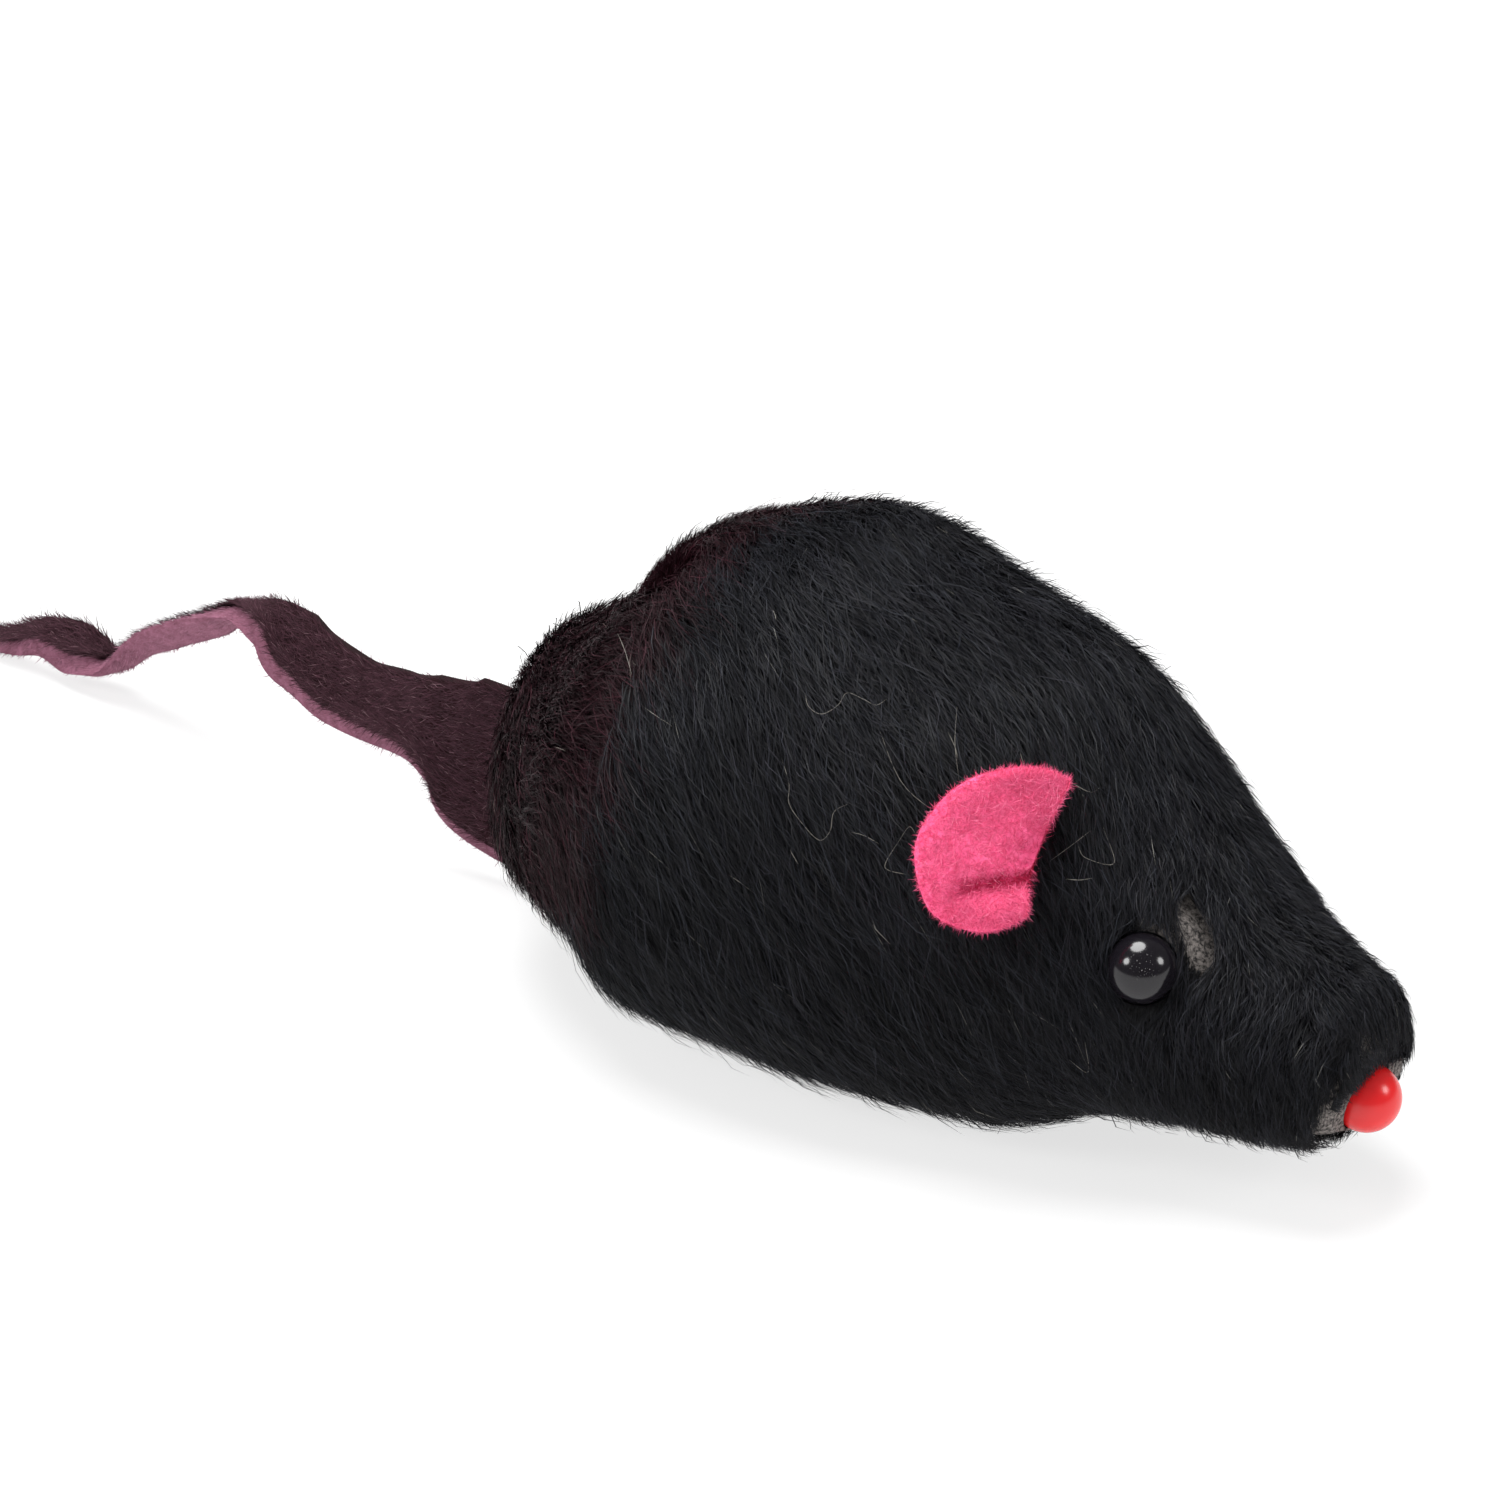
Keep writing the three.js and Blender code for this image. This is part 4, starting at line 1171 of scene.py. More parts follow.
        points = over_rims(np.stack(points, 1), 0.2 * MM - EYE_RIM_SINK)
        points = kept_above(points, STRAND_CLEARANCE)
        width = lerp(self.width, self.head_width, head) * rng.uniform(0.6, 1.3, count) * (1 - 0.35 * pale)
        # painted light: besides the clump patches and noise, the sine term makes the back's strands paler and
        # the belly's darker
        patches = chance[:, 4] + value_noise(place, 5 * MM, 8) + 0.8 * (np.sin(angle) - 0.7)
        made = Strands(
            points, out, width, rng.normal(0, 0.6, count), self.dyeing.dye_or_crease_shade(self.form, t, angle, rng),
            self.tones(pale, patches, rng))
        return made.taken(self.clear(made))

    def tones(self, pale: np.ndarray, clumps_and_top_light: np.ndarray, rng: np.random.Generator) -> np.ndarray:
        """How pale each strand is: mostly dark, lighter or darker by clump patches and by painted light that
        makes the back paler and the belly darker, with some paler ones and rare bright glints.
        """
        count = len(clumps_and_top_light)
        dark = self.tone * np.maximum(0.3, 1 + 0.35 * clumps_and_top_light) * rng.uniform(0.5, 1.5, count)
        tone = np.clip(np.where(pale, self.tone + rng.uniform(0.15, 0.55, count), dark), 0.02, 0.75)
        return np.where(rng.uniform(0, 1, count) < self.glint_share, rng.uniform(0.88, 0.99, count), tone)

    def clear(self, strands: Strands) -> np.ndarray:
        """Which strands keep clear of the beads, the slit and the bare edge round the nose."""
        root, tip = strands.stations[:, 0], strands.stations[:, -1]
        kept = np.ones(len(root), bool)
        for centre, axis, root_radius, tip_radius in self.clear_of:
            offset = strands.stations - centre
            away = np.linalg.norm(offset - (offset @ axis)[..., None] * axis, axis=-1)
            limit = np.where(np.arange(self.steps) == 0, root_radius, tip_radius)
            kept &= ~((away < limit) & (np.abs(offset @ axis) < 6 * MM)).any(1)
        upper = smoothstep(root[:, 2], 8.5 * MM, 10.5 * MM)
        ragged = 0.25 * MM * value_noise(root, 0.7 * MM, 71)
        kept &= LIP.ahead_of(root) + ragged < lerp(-0.8 * MM, -0.1 * MM, upper)
        kept &= LIP.ahead_of(tip) + ragged < lerp(-0.1 * MM, 0.7 * MM, upper)
        return kept


@dataclass
class EdgePile:
    """The dense short pile that turns up and back over the main pelt's rear edge, on the crest.

    A strand leans by its fan angle: 0 is straight back, a quarter turn is straight out. It leans back
    further down the hide's cut edge, and forward of the edge it stands up and then leans forward.
    """

    form: BodyForm
    edge_share: float
    count: int = 16000
    reach: float = 3.2 * MM  # how far forward from the edge it grows
    hide_top: float = 1.7 * MM  # depth of the hide's outer face
    hide_bottom: float = 3.4 * MM
    length: float = 1.4 * MM
    width: float = 0.056 * MM
    top_depth: float = -0.45 * MM
    half_span: float = 0.4  # radians to each side of the spine
    edge_fan: tuple = (1.4, 0.9)  # from the top of the cut edge to its bottom
    top_fan: tuple = (1.4, 2.5)  # from the edge forward
    dyeing: Dyeing = field(default_factory=Dyeing)

    def strands(self, rng: np.random.Generator) -> Strands:
        """Grows the pile: tip = root + length (back cos fan + out sin fan), held under the outline."""
        count = self.count
        angle = np.pi / 2 + self.half_span * rng.uniform(-1, 1, count)
        crest = smoothstep(self.half_span - np.abs(angle - np.pi / 2), 0.0, 0.15)
        on_edge = rng.uniform(0, 1, count) < 0.5
        forward = np.where(on_edge, 0, rng.uniform(0, 1, count) ** 1.3)
        t = self.edge_share + forward * self.reach / self.form.length
        down = rng.uniform(0, 1, count)
        depth = np.where(on_edge, lerp(self.hide_top, self.hide_bottom, down), self.hide_top)
        fan = np.where(on_edge, lerp(*self.edge_fan, down), lerp(*self.top_fan, forward))
        fan = fan + rng.normal(0, 0.16, count)
        length = self.length * rng.uniform(0.6, 1.15, count) * lerp(0.7, 1.0, crest)
        _, around, out = self.form.slopes(t, angle)
        step_t = -length * np.cos(fan) / self.form.length
        side = rng.normal(0, 0.3, count) * length / np.maximum(np.linalg.norm(around, axis=1), MM)
        top = lerp(0.9 * MM, self.top_depth * (1 - 0.8 * forward), crest)
        top = top + np.abs(rng.normal(0, 0.16, count)) * MM
        tip_depth = np.maximum(depth - length * np.sin(fan), top)
        mid_depth = np.maximum(depth - 0.6 * length * np.sin(fan), top + 0.1 * MM)
        points = np.stack([
            self.form.point(t, angle, depth),
            self.form.point(t + 0.4 * step_t, angle + 0.4 * side, mid_depth),
            self.form.point(t + step_t, angle + side, tip_depth),
        ], 1)
        pale = rng.uniform(0, 1, count) < 0.12
        tone = np.where(pale, rng.uniform(0.3, 0.6, count), 0.5 * rng.uniform(0.6, 1.4, count))
        return Strands(
            points, unit(out - 0.3 * X_AXIS), self.width * rng.uniform(0.6, 1.4, count),
            rng.normal(0, 0.8, count), self.dyeing.dye_or_crease_shade(self.form, t, angle, rng), tone)


@dataclass
class LipPile:
    """Short pile on the flat of the snout above the nose; the hide is bare beside and below it."""

    outline: np.ndarray  # points round the flat's edge
    count: int = 5000
    inner: float = 2.5 * MM
    length: float = 0.9 * MM
    width: float = 0.046 * MM

    def outer(self, angle: np.ndarray) -> np.ndarray:
        """How far from the nose's middle the flat's edge is at angles round it."""
        offset = self.outline - LIP.middle
        turns = np.arctan2(offset @ LIP.up, offset @ Y_AXIS)
        order = np.argsort(turns)
        return np.interp(angle, turns[order], np.linalg.norm(offset, axis=1)[order], period=2 * np.pi)

    def strands(self, rng: np.random.Generator) -> Strands:
        """Grows the pile down to the nose and forward: tip = root + length (out sin - spoke cos)."""
        count = self.count
        angle = rng.uniform(0, 2 * np.pi, count)
        edge = self.outer(angle) + 0.1 * MM
        above = smoothstep(np.sin(angle), 0.2, 0.75)
        start = lerp(edge, self.inner, above) + 0.15 * MM * rng.normal(0, 1, count)
        radius = lerp(start, edge, rng.uniform(0, 1, count))
        spoke = np.cos(angle)[:, None] * Y_AXIS + np.sin(angle)[:, None] * LIP.up
        root = LIP.middle + radius[:, None] * spoke - 0.03 * MM * LIP.out
        lean = 0.4 + rng.normal(0, 0.15, count)
        turn = rng.normal(0, 0.4, count)[:, None]
        way = unit(-np.cos(turn) * spoke + np.sin(turn) * np.cross(LIP.out, spoke))
        way = np.cos(lean)[:, None] * way + np.sin(lean)[:, None] * LIP.out
        length = (self.length * rng.uniform(0.5, 1.1, count))[:, None]
        middle = root + 0.5 * length * (way + 0.15 * LIP.out)
        points = kept_above(np.stack([root, middle, root + length * way], 1), STRAND_CLEARANCE)
        tone = 0.25 * rng.uniform(0.5, 1.5, count) + 0.35 * (rng.uniform(0, 1, count) < 0.12)
        made = Strands(
            points, np.broadcast_to(LIP.out, (count, 3)), self.width * rng.uniform(0.6, 1.4, count),
            rng.normal(0, 0.6, count), np.full(count, 0.06), tone)
        return made.taken((start < edge) & (above > 0.05))


@dataclass(frozen=True)
class EarShape:
    """A leaf of felt glued along a short straight root, in the sizes of the frame's ears.

    The middle sheet runs outward from the root line and spreads from its lower to its upper end:
    up = blend(root, reach sin turn), out = outward reach cos turn. It is domed away from its open
    side, and under a crease that runs down and outward its lower lobe rolls forward.
    """

    share: float  # along the body
    rise: float  # degrees up a section from the flank
    splay: float  # degrees that the leaf points aside, from straight back
    droop: float  # degrees that it is turned about the way out of the fur
    side: Side
    length: float = 7.1 * MM
    thickness: float = 1.2 * MM
    root_width: float = 3.4 * MM
    lift: float = 0.7 * MM  # of the root's middle over the fur's outline
    dome: float = 0.8 * MM  # by which the leaf's far end stands back
    crease_drop: float = 1.3 * MM  # from the root's middle down to the crease
    crease_fall: float = 31.0  # degrees that the crease falls on its way outward
    crease_length: float = 4.6 * MM
    lobe_rise: float = 1.25 * MM
    lobe_width: float = 2.1 * MM
    spread: float = 94.0  # degrees from the middle to each side
    reach_shares: tuple = (0.55, 0.84, 0.98, 0.97, 0.875, 0.775, 0.685, 0.65, 0.62)

    @cached_property
    def axes(self) -> tuple:
        """The root's middle and the ways out, up the root line and to the open side, on the right."""
        seat = FORM.seat(self.share, self.rise, Side.RIGHT)
        splay = math.radians(self.splay)
        out = np.array([-math.cos(splay), -math.sin(splay), 0.0])
        out = unit(out - (out @ seat.up) * seat.up)
        turn = np.array(Matrix.Rotation(math.radians(self.droop), 3, Vector(seat.out)))
        out, up = turn @ out, turn @ seat.up
        return seat.point + self.lift * seat.out, out, up, np.cross(up, out)

    def fold(self, up: np.ndarray, out: np.ndarray) -> tuple:
        """How far a place lies under the crease's line, and how far along it."""
        fall = math.radians(self.crease_fall)
        drop = -up - self.crease_drop
        return drop * math.cos(fall) - out * math.sin(fall), drop * math.sin(fall) + out * math.cos(fall)

    def forward(self, up: np.ndarray, out: np.ndarray) -> np.ndarray:
        """How far the sheet stands to its open side: the lobe under the crease, less the dome."""
        under, along = self.fold(up, out)
        fade = 1 - smoothstep(along, self.crease_length / 2, self.crease_length)
        lobe = self.lobe_rise * smoothstep(under, 0, self.lobe_width) * fade
        return lobe - self.dome * (out / self.length) ** 2

    def spread_out(self, outward: np.ndarray, side: np.ndarray) -> tuple:
        """How far up and out the sheet's points lie, outward from 0 to 1 and side from -1 to 1."""
        turn = side * math.radians(self.spread)
        places = tuple(np.linspace(-1, 1, len(self.reach_shares)))
        reach = self.length * smooth_shares(places, self.reach_shares, side)
        rise = lerp(side * self.root_width / 2, reach * np.sin(turn), outward)
        return rise, outward * reach * np.cos(turn)

    def crease(self, outward: np.ndarray, side: np.ndarray) -> np.ndarray:
        """How much painted shade a point gets: 1 on the crease's line, and 0.6 in the hollow at the root."""
        rise, away = self.spread_out(outward, side)
        under, along = self.fold(rise, away)
        under = under - 0.15 * self.lobe_width
        ends = smoothstep(along, -0.2 * self.crease_length, 0.1 * self.crease_length) * (
            1 - smoothstep(along, 0.75 * self.crease_length, 1.1 * self.crease_length))
        hollow = np.exp(-(away / (1.3 * MM)) ** 2 - (rise / (1.5 * MM)) ** 2)
        return np.maximum(np.exp(-(under / (0.5 * MM)) ** 2) * ends, 0.6 * hollow)

    def sheet(self, outward: np.ndarray, side: np.ndarray) -> np.ndarray:
        """Points of the leaf's middle."""
        point, out, up, open_side = self.axes
        rise, away = self.spread_out(outward, side)
        stand = self.forward(rise, away)
        return point + rise[..., None] * up + away[..., None] * out + stand[..., None] * open_side


@dataclass
class FeltEar:
    """One ear: the leaf and the fuzz that stands on it."""

    name: str
    shape: EarShape
    body: Body
    node: str
    rows: int = 64
    columns: int = 84
    fuzz_count: int = 22000
    fuzz_length: float = 0.55 * MM
    fuzz_width: float = 0.03 * MM
    fuzz_room: float = 0.12 * MM  # by which the leaf is smaller all round than its outline
    puff: float = 1.25 * MM  # how far in from its edge the felt reaches its full thickness

    def faces(self, outward: np.ndarray, side: np.ndarray, deep: np.ndarray) -> tuple:
        """Points off the middle sheet.

        Args:
            outward: shares of the way from the root line to the rim.
            side: from -1 at the lower side to 1 at the upper one.
            deep: how far off they lie, towards the open side.

        Returns:
            The points, and the way out of the sheet on its open side.
        """
        step = 1e-3
        middle = self.shape.sheet(outward, side)
        away = self.shape.sheet(outward + step, side) - middle
        along = self.shape.sheet(outward, side + step) - self.shape.sheet(outward, side - step)
        facing = unit(np.cross(away, along))
        open_side = self.shape.axes[3]
        facing = facing * np.sign((facing @ open_side).mean())
        way = unit(0.4 * facing + 0.6 * open_side)
        inward = self.fuzz_room * (outward ** 3)[..., None] * unit(away)
        return middle + deep[..., None] * way - inward, facing

    def leaf(self) -> bpy.types.Object:
        """The felt as closed sections round the leaf's thickness, from its lower to its upper side."""
        turn = np.linspace(0, 2 * np.pi, 2 * self.rows, endpoint=False)
        side = np.sin(np.linspace(-np.pi / 2, np.pi / 2, self.columns))
        grid_out, grid_side = np.broadcast_arrays(((1 - np.cos(turn)) / 2)[None, :], side[:, None])
        edge = np.minimum(1, (1 - grid_out) * self.shape.length / self.puff)
        rim = np.sqrt(np.maximum(0, 1 - (1 - edge) ** 2)) * (1 - np.abs(grid_side) ** 3.6) ** 0.225
        sign = np.sign(np.round(np.sin(turn), 9))[None, :]
        half = self.shape.thickness / 2 * sign * np.maximum(rim, 0.05)
        points, facing = self.faces(grid_out, grid_side, half)
        outer = facing.reshape(-1, 3) * np.sign(half).reshape(-1, 1)
        flat = self.lumpy(points.reshape(-1, 3), outer)
        piece = rings_object(self.name, self.on_side(flat).reshape(points.shape))
        # painted shade for the crease and the root's hollow, on the open face only
        crease = self.shape.crease(grid_out, grid_side) * (half > 0)
        shade = np.append(np.clip(crease, 0.01, 0.99).ravel(), [0.01, 0.01])[face_corners(piece)]
        set_map(piece, CREASE_SHADE_MAP, np.stack([shade, np.full(len(shade), 0.5)], 1))
        face_out(piece)
        return piece

    def lumpy(self, points: np.ndarray, out: np.ndarray) -> np.ndarray:
        """Points of the felt's surface, moved out and in by its lumps."""
        coarse, fine = value_noise(points, 1.1 * MM, 31), value_noise(points, 0.4 * MM, 32)
        return points + out * (0.09 * MM * coarse + 0.05 * MM * fine)[:, None]

    def on_side(self, points: np.ndarray) -> np.ndarray:
        """Points of the right ear's pattern, on this ear's own side of the head."""
        return points if self.shape.side is Side.RIGHT else points * np.array([1.0, -1.0, 1.0])

    def fuzz(self, rng: np.random.Generator) -> bpy.types.Object:
        """Bent fibres, matted in all directions on both faces, the side edges and the root line."""
        count = self.fuzz_count
        place = rng.uniform(0, 1, count)
        on_side, on_root = place < 0.1, place > 0.93
        outward = np.where(on_root, 0, np.sqrt(rng.uniform(0, 1, count)))
        side = np.where(on_side, rng.choice([-1.0, 1.0], count), rng.uniform(-1, 1, count))
        sign = rng.choice([-1.0, 1.0], count)
        edge = np.clip((1 - outward) * self.shape.length / self.puff, 0, 1)
        rim = np.sqrt(np.maximum(0.02, 1 - (1 - edge) ** 2))
        deep = np.where(on_side | on_root, rng.uniform(-0.8, 0.8, count), sign * 0.94)
        deep = deep * self.shape.thickness / 2 * rim
        root, facing = self.faces(outward, side, deep)
        beyond = unit(self.shape.sheet(outward, side) - self.shape.sheet(outward, side * 0.99))
        inner = unit(self.shape.sheet(0 * side, side) - self.shape.sheet(0 * side + 0.05, side))
        out = np.where(on_side[:, None], beyond, facing * sign[:, None])
        out = np.where(on_root[:, None], inner, out)
        root = self.lumpy(root, facing * sign[:, None]) + 0.02 * MM * out
        length = (self.fuzz_length * rng.uniform(0.5, 1.3, count) * lerp(0.6, 1.0, edge))[:, None]
        way = unit(np.cross(out, rng.normal(0, 1, (count, 3))))
        other = unit(np.cross(out, way))
        loose = rng.uniform(0, 1, count)[:, None] < 0.03
        arch = rng.uniform(0.0, 0.12, count)[:, None]
        bend = np.clip(rng.normal(0, 0.9, count), -1.2, 1.2)[:, None]
        stations = []
        for share in np.linspace(0, 1, 4):
            height = np.where(loose, 0.32 * share, arch * 4 * share * (1 - share))
            stations.append(root + length * ((share - 0.35) * way + bend * share ** 2 * other + height * out))
        # painted shade in the crease, on the open face, carried as the fuzz's second colour
        crease_shade = self.shape.crease(outward, side) * (sign > 0)
        tone = np.where(loose[:, 0], 0.85, rng.uniform(0.35, 0.78, count))
        made = Strands(
            self.on_side(np.stack(stations, 1)), self.on_side(out),
            self.fuzz_width * rng.uniform(0.7, 1.3, count), rng.normal(0, 0.5, count),
            np.clip(1.2 * crease_shade, 0.02, 0.98), tone)
        return made.build(self.name + "_fuzz")


# Sub-assemblies


@dataclass
class Pelt:
    """The main pelt and the rump pelt: hide, fur and the beads' holes."""

    skin_depth: float = 1.9 * MM
    head_skin_depth: float = 1.1 * MM
    eye_sink: float = 0.6 * MM
    hide_turn_in: float = 1.2 * MM
    seam_gap: float = 0.35 * MM
    columns: int = 144
    rows: int = 110

    def skin_layer(self, t: np.ndarray) -> np.ndarray:
        """Depth of the hide's outer face."""
        return lerp(self.skin_depth, self.head_skin_depth, smoothstep(t, 0.6, 0.9))

    def front_share(self, angle: np.ndarray, layer: Callable, cut: float) -> np.ndarray:
        """Where lines along the form meet the muzzle's cut.

        Args:
            angle: each line's angle round the body.
            layer: the depth of the layer that the lines lie in, from shares along the body.
            cut: how far behind the muzzle's cut they stop.

        Returns:
            The share along the body for each line.
        """
        t = np.linspace(0.8, 0.9995, 1200)[:, None]
        points = FORM.point(t, angle[None, :], layer(t))
        beyond = LIP.ahead_of(points) > -cut
        first = np.where(beyond.any(0), beyond.argmax(0), len(t) - 1)
        return t[first, 0]

    def main_hide(self) -> bpy.types.Object:
        """The main pelt's hide: out along the body, round the lip to the nose hole, back inside."""
        angle = np.linspace(0, 2 * np.pi, self.columns, endpoint=False)
        start = FORM.share_at(FORM.along(SEAM_SHARE) + self.seam_gap)
        share = np.linspace(0, 1, self.rows)[:, None]
        outer_t = lerp(start, self.front_share(angle, self.skin_layer, 0)[None, :], share)
        drawn_in = self.eye_sink * near_eyes(FORM.point(outer_t, angle[None, :]))
        outer = FORM.point(outer_t, angle[None, :], self.skin_layer(outer_t) + drawn_in)
        outer = over_rims(outer, 0.15 * MM - EYE_RIM_SINK)
        hole = LIP.ring(NOSE_RADIUS + 0.1 * MM, 0, angle)
        lip = np.stack([lerp(outer[-1], hole, s) for s in (0.12, 0.3, 0.6, 0.9)])
        wall = np.stack([
            LIP.ring(NOSE_RADIUS + 0.08 * MM, depth, angle)
            for depth in (0.1 * MM, 0.5 * MM, self.hide_turn_in)])

        def inner_layer(t: np.ndarray) -> np.ndarray:
            return FORM.layer_depth(t, FORM.pelt)

        inner_t = lerp(self.front_share(angle, inner_layer, self.hide_turn_in)[None, :], start, share)
        inner = FORM.point(inner_t, angle[None, :], inner_layer(inner_t))
        rings = kept_above(np.concatenate([outer, lip, wall, inner]), HIDE_CLEARANCE)
        piece = rings_object("main_pelt_hide", rings, closed_rows=True)
        face_out(piece)
        cut_away(piece, [self.eye_hole(seat) for seat in EYE_SEATS.values()])
        return piece

    def eye_hole(self, seat: Seat) -> bpy.types.Object:
        """What is cut away for an eye: its hole down to the former's rim, and room for that rim."""
        rim_room = EYE_RIM_RADIUS + 0.05 * MM
        profile = np.array([
            [EYE_HOLE_RADIUS, 2 * MM], [EYE_HOLE_RADIUS, -EYE_RIM_SINK],
            [rim_room, -EYE_RIM_SINK], [rim_room, -5 * MM],
        ])
        piece = lathe_object("eye_hole", profile, seat.point, seat.out, 48)
        face_out(piece)
        return piece

    def rump_hide(self) -> bpy.types.Object:
        """The rump pelt's hide: a cap with an inner face."""
        angle = np.linspace(0, 2 * np.pi, self.columns, endpoint=False)
        outer_t = (0.5 - 0.5 * np.cos(np.linspace(0.03, 1, 60) * np.pi)) * SEAM_SHARE
        outer = RUMP_FORM.point(outer_t[:, None], angle[None, :], self.skin_depth)
        outer[..., 0] = np.maximum(outer[..., 0], RUMP_FORM.along(0) + self.skin_depth * 0.6)
        inner_t = lerp(0.06, 1, np.linspace(1, 0, 40)) * SEAM_SHARE
        inner = RUMP_FORM.point(inner_t[:, None], angle[None, :], FORM.pelt)
        rings = kept_above(np.concatenate([outer, inner]), HIDE_CLEARANCE)
        piece = rings_object("rump_pelt_hide", rings)
        face_out(piece)
        return piece


@dataclass
class Beads:
    """The eyes and the nose: moulded balls on shanks."""

    sides: int = 64
    eye_shank: float = 4.2 * MM
    nose_stem: float = 6.5 * MM
    end_bevel: float = 0.1 * MM

    def bead(
        self, name: str, centre: np.ndarray, axis: np.ndarray, radius: float, shank: float,
    ) -> bpy.types.Object:
        """A ball that runs into a shank: r = R sin, h = R cos down to the shank's radius.

        Args:
            name: the piece's name.
            centre: the ball's middle.
            axis: the way from its shank through its middle.
            radius: the ball's radius.
            shank: how far the shank's end is from the middle.

        Returns:
            The bead.
        """
        last = np.pi - math.asin(SHANK_RADIUS / radius)
        turn = np.linspace(0.02, last, 48)
        ball = np.stack([radius * np.sin(turn), radius * np.cos(turn)], 1)
        stem = np.array([
            [SHANK_RADIUS, -radius - 0.3 * MM], [SHANK_RADIUS, -shank + self.end_bevel],
            [SHANK_RADIUS - self.end_bevel, -shank],
        ])
        piece = lathe_object(name, np.concatenate([ball, stem]), centre, axis, self.sides)
        face_out(piece)
        return piece

    def build(self, eye: bpy.types.Material, nose: bpy.types.Material) -> None:
        """Makes the three beads in place of the frame's."""
        for side, seat in EYE_SEATS.items():
            node = "eye_" + side.name.lower()
            centre = seat.point - EYE_SINK * seat.out
            piece = self.bead(node + "_bead", centre, seat.out, EYE_RADIUS, self.eye_shank)
            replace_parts(finished(piece, Body.TRUNK, eye), node)
        piece = self.bead("nose_ball", MUZZLE.middle, MUZZLE.out, NOSE_RADIUS, self.nose_stem)
        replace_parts(finished(piece, Body.TRUNK, nose), "nose_bead")


@dataclass(frozen=True)
class TailRoute:
    """Stations of the tail from the rump to the tip, as shares of its reach, rise, sway and width.

    A turn of 1 is upside down.
    """

    along_shares: tuple = (
        0, 0.06, 0.12, 0.17, 0.25, 0.32, 0.39, 0.45, 0.51, 0.58, 0.65, 0.72, 0.79, 0.84, 0.89, 0.95, 1)
    rise_shares: tuple = (
        0.69, 0.735, 0.81, 0.82, 0.79, 0.81, 0.905, 1, 0.96, 0.785, 0.62, 0.43, 0.19, 0.22, 0.24, 0.15, 0.09)
    sway_shares: tuple = (
        -0.3, -0.33, -0.3, -0.17, 0, 0.13, 0.3, 0.43, 0.63, 0.8, 0.87, 0.97, 1, 1, 0.93, 0.87, 0.8)
    width_shares: tuple = (
        1, 0.93, 0.62, 0.48, 0.435, 0.45, 0.425, 0.265, 0.18, 0.28, 0.255, 0.235, 0.25, 0.3, 0.225, 0.14, 0.1)
    turn_shares: tuple = (
        0, 0.01, 0.03, 0.05, 0.07, 0.1, 0.15, 0.3, 0.575, 0.725, 0.75, 0.71, 0.525, 0.3, 0.25, 0.275, 0.335)


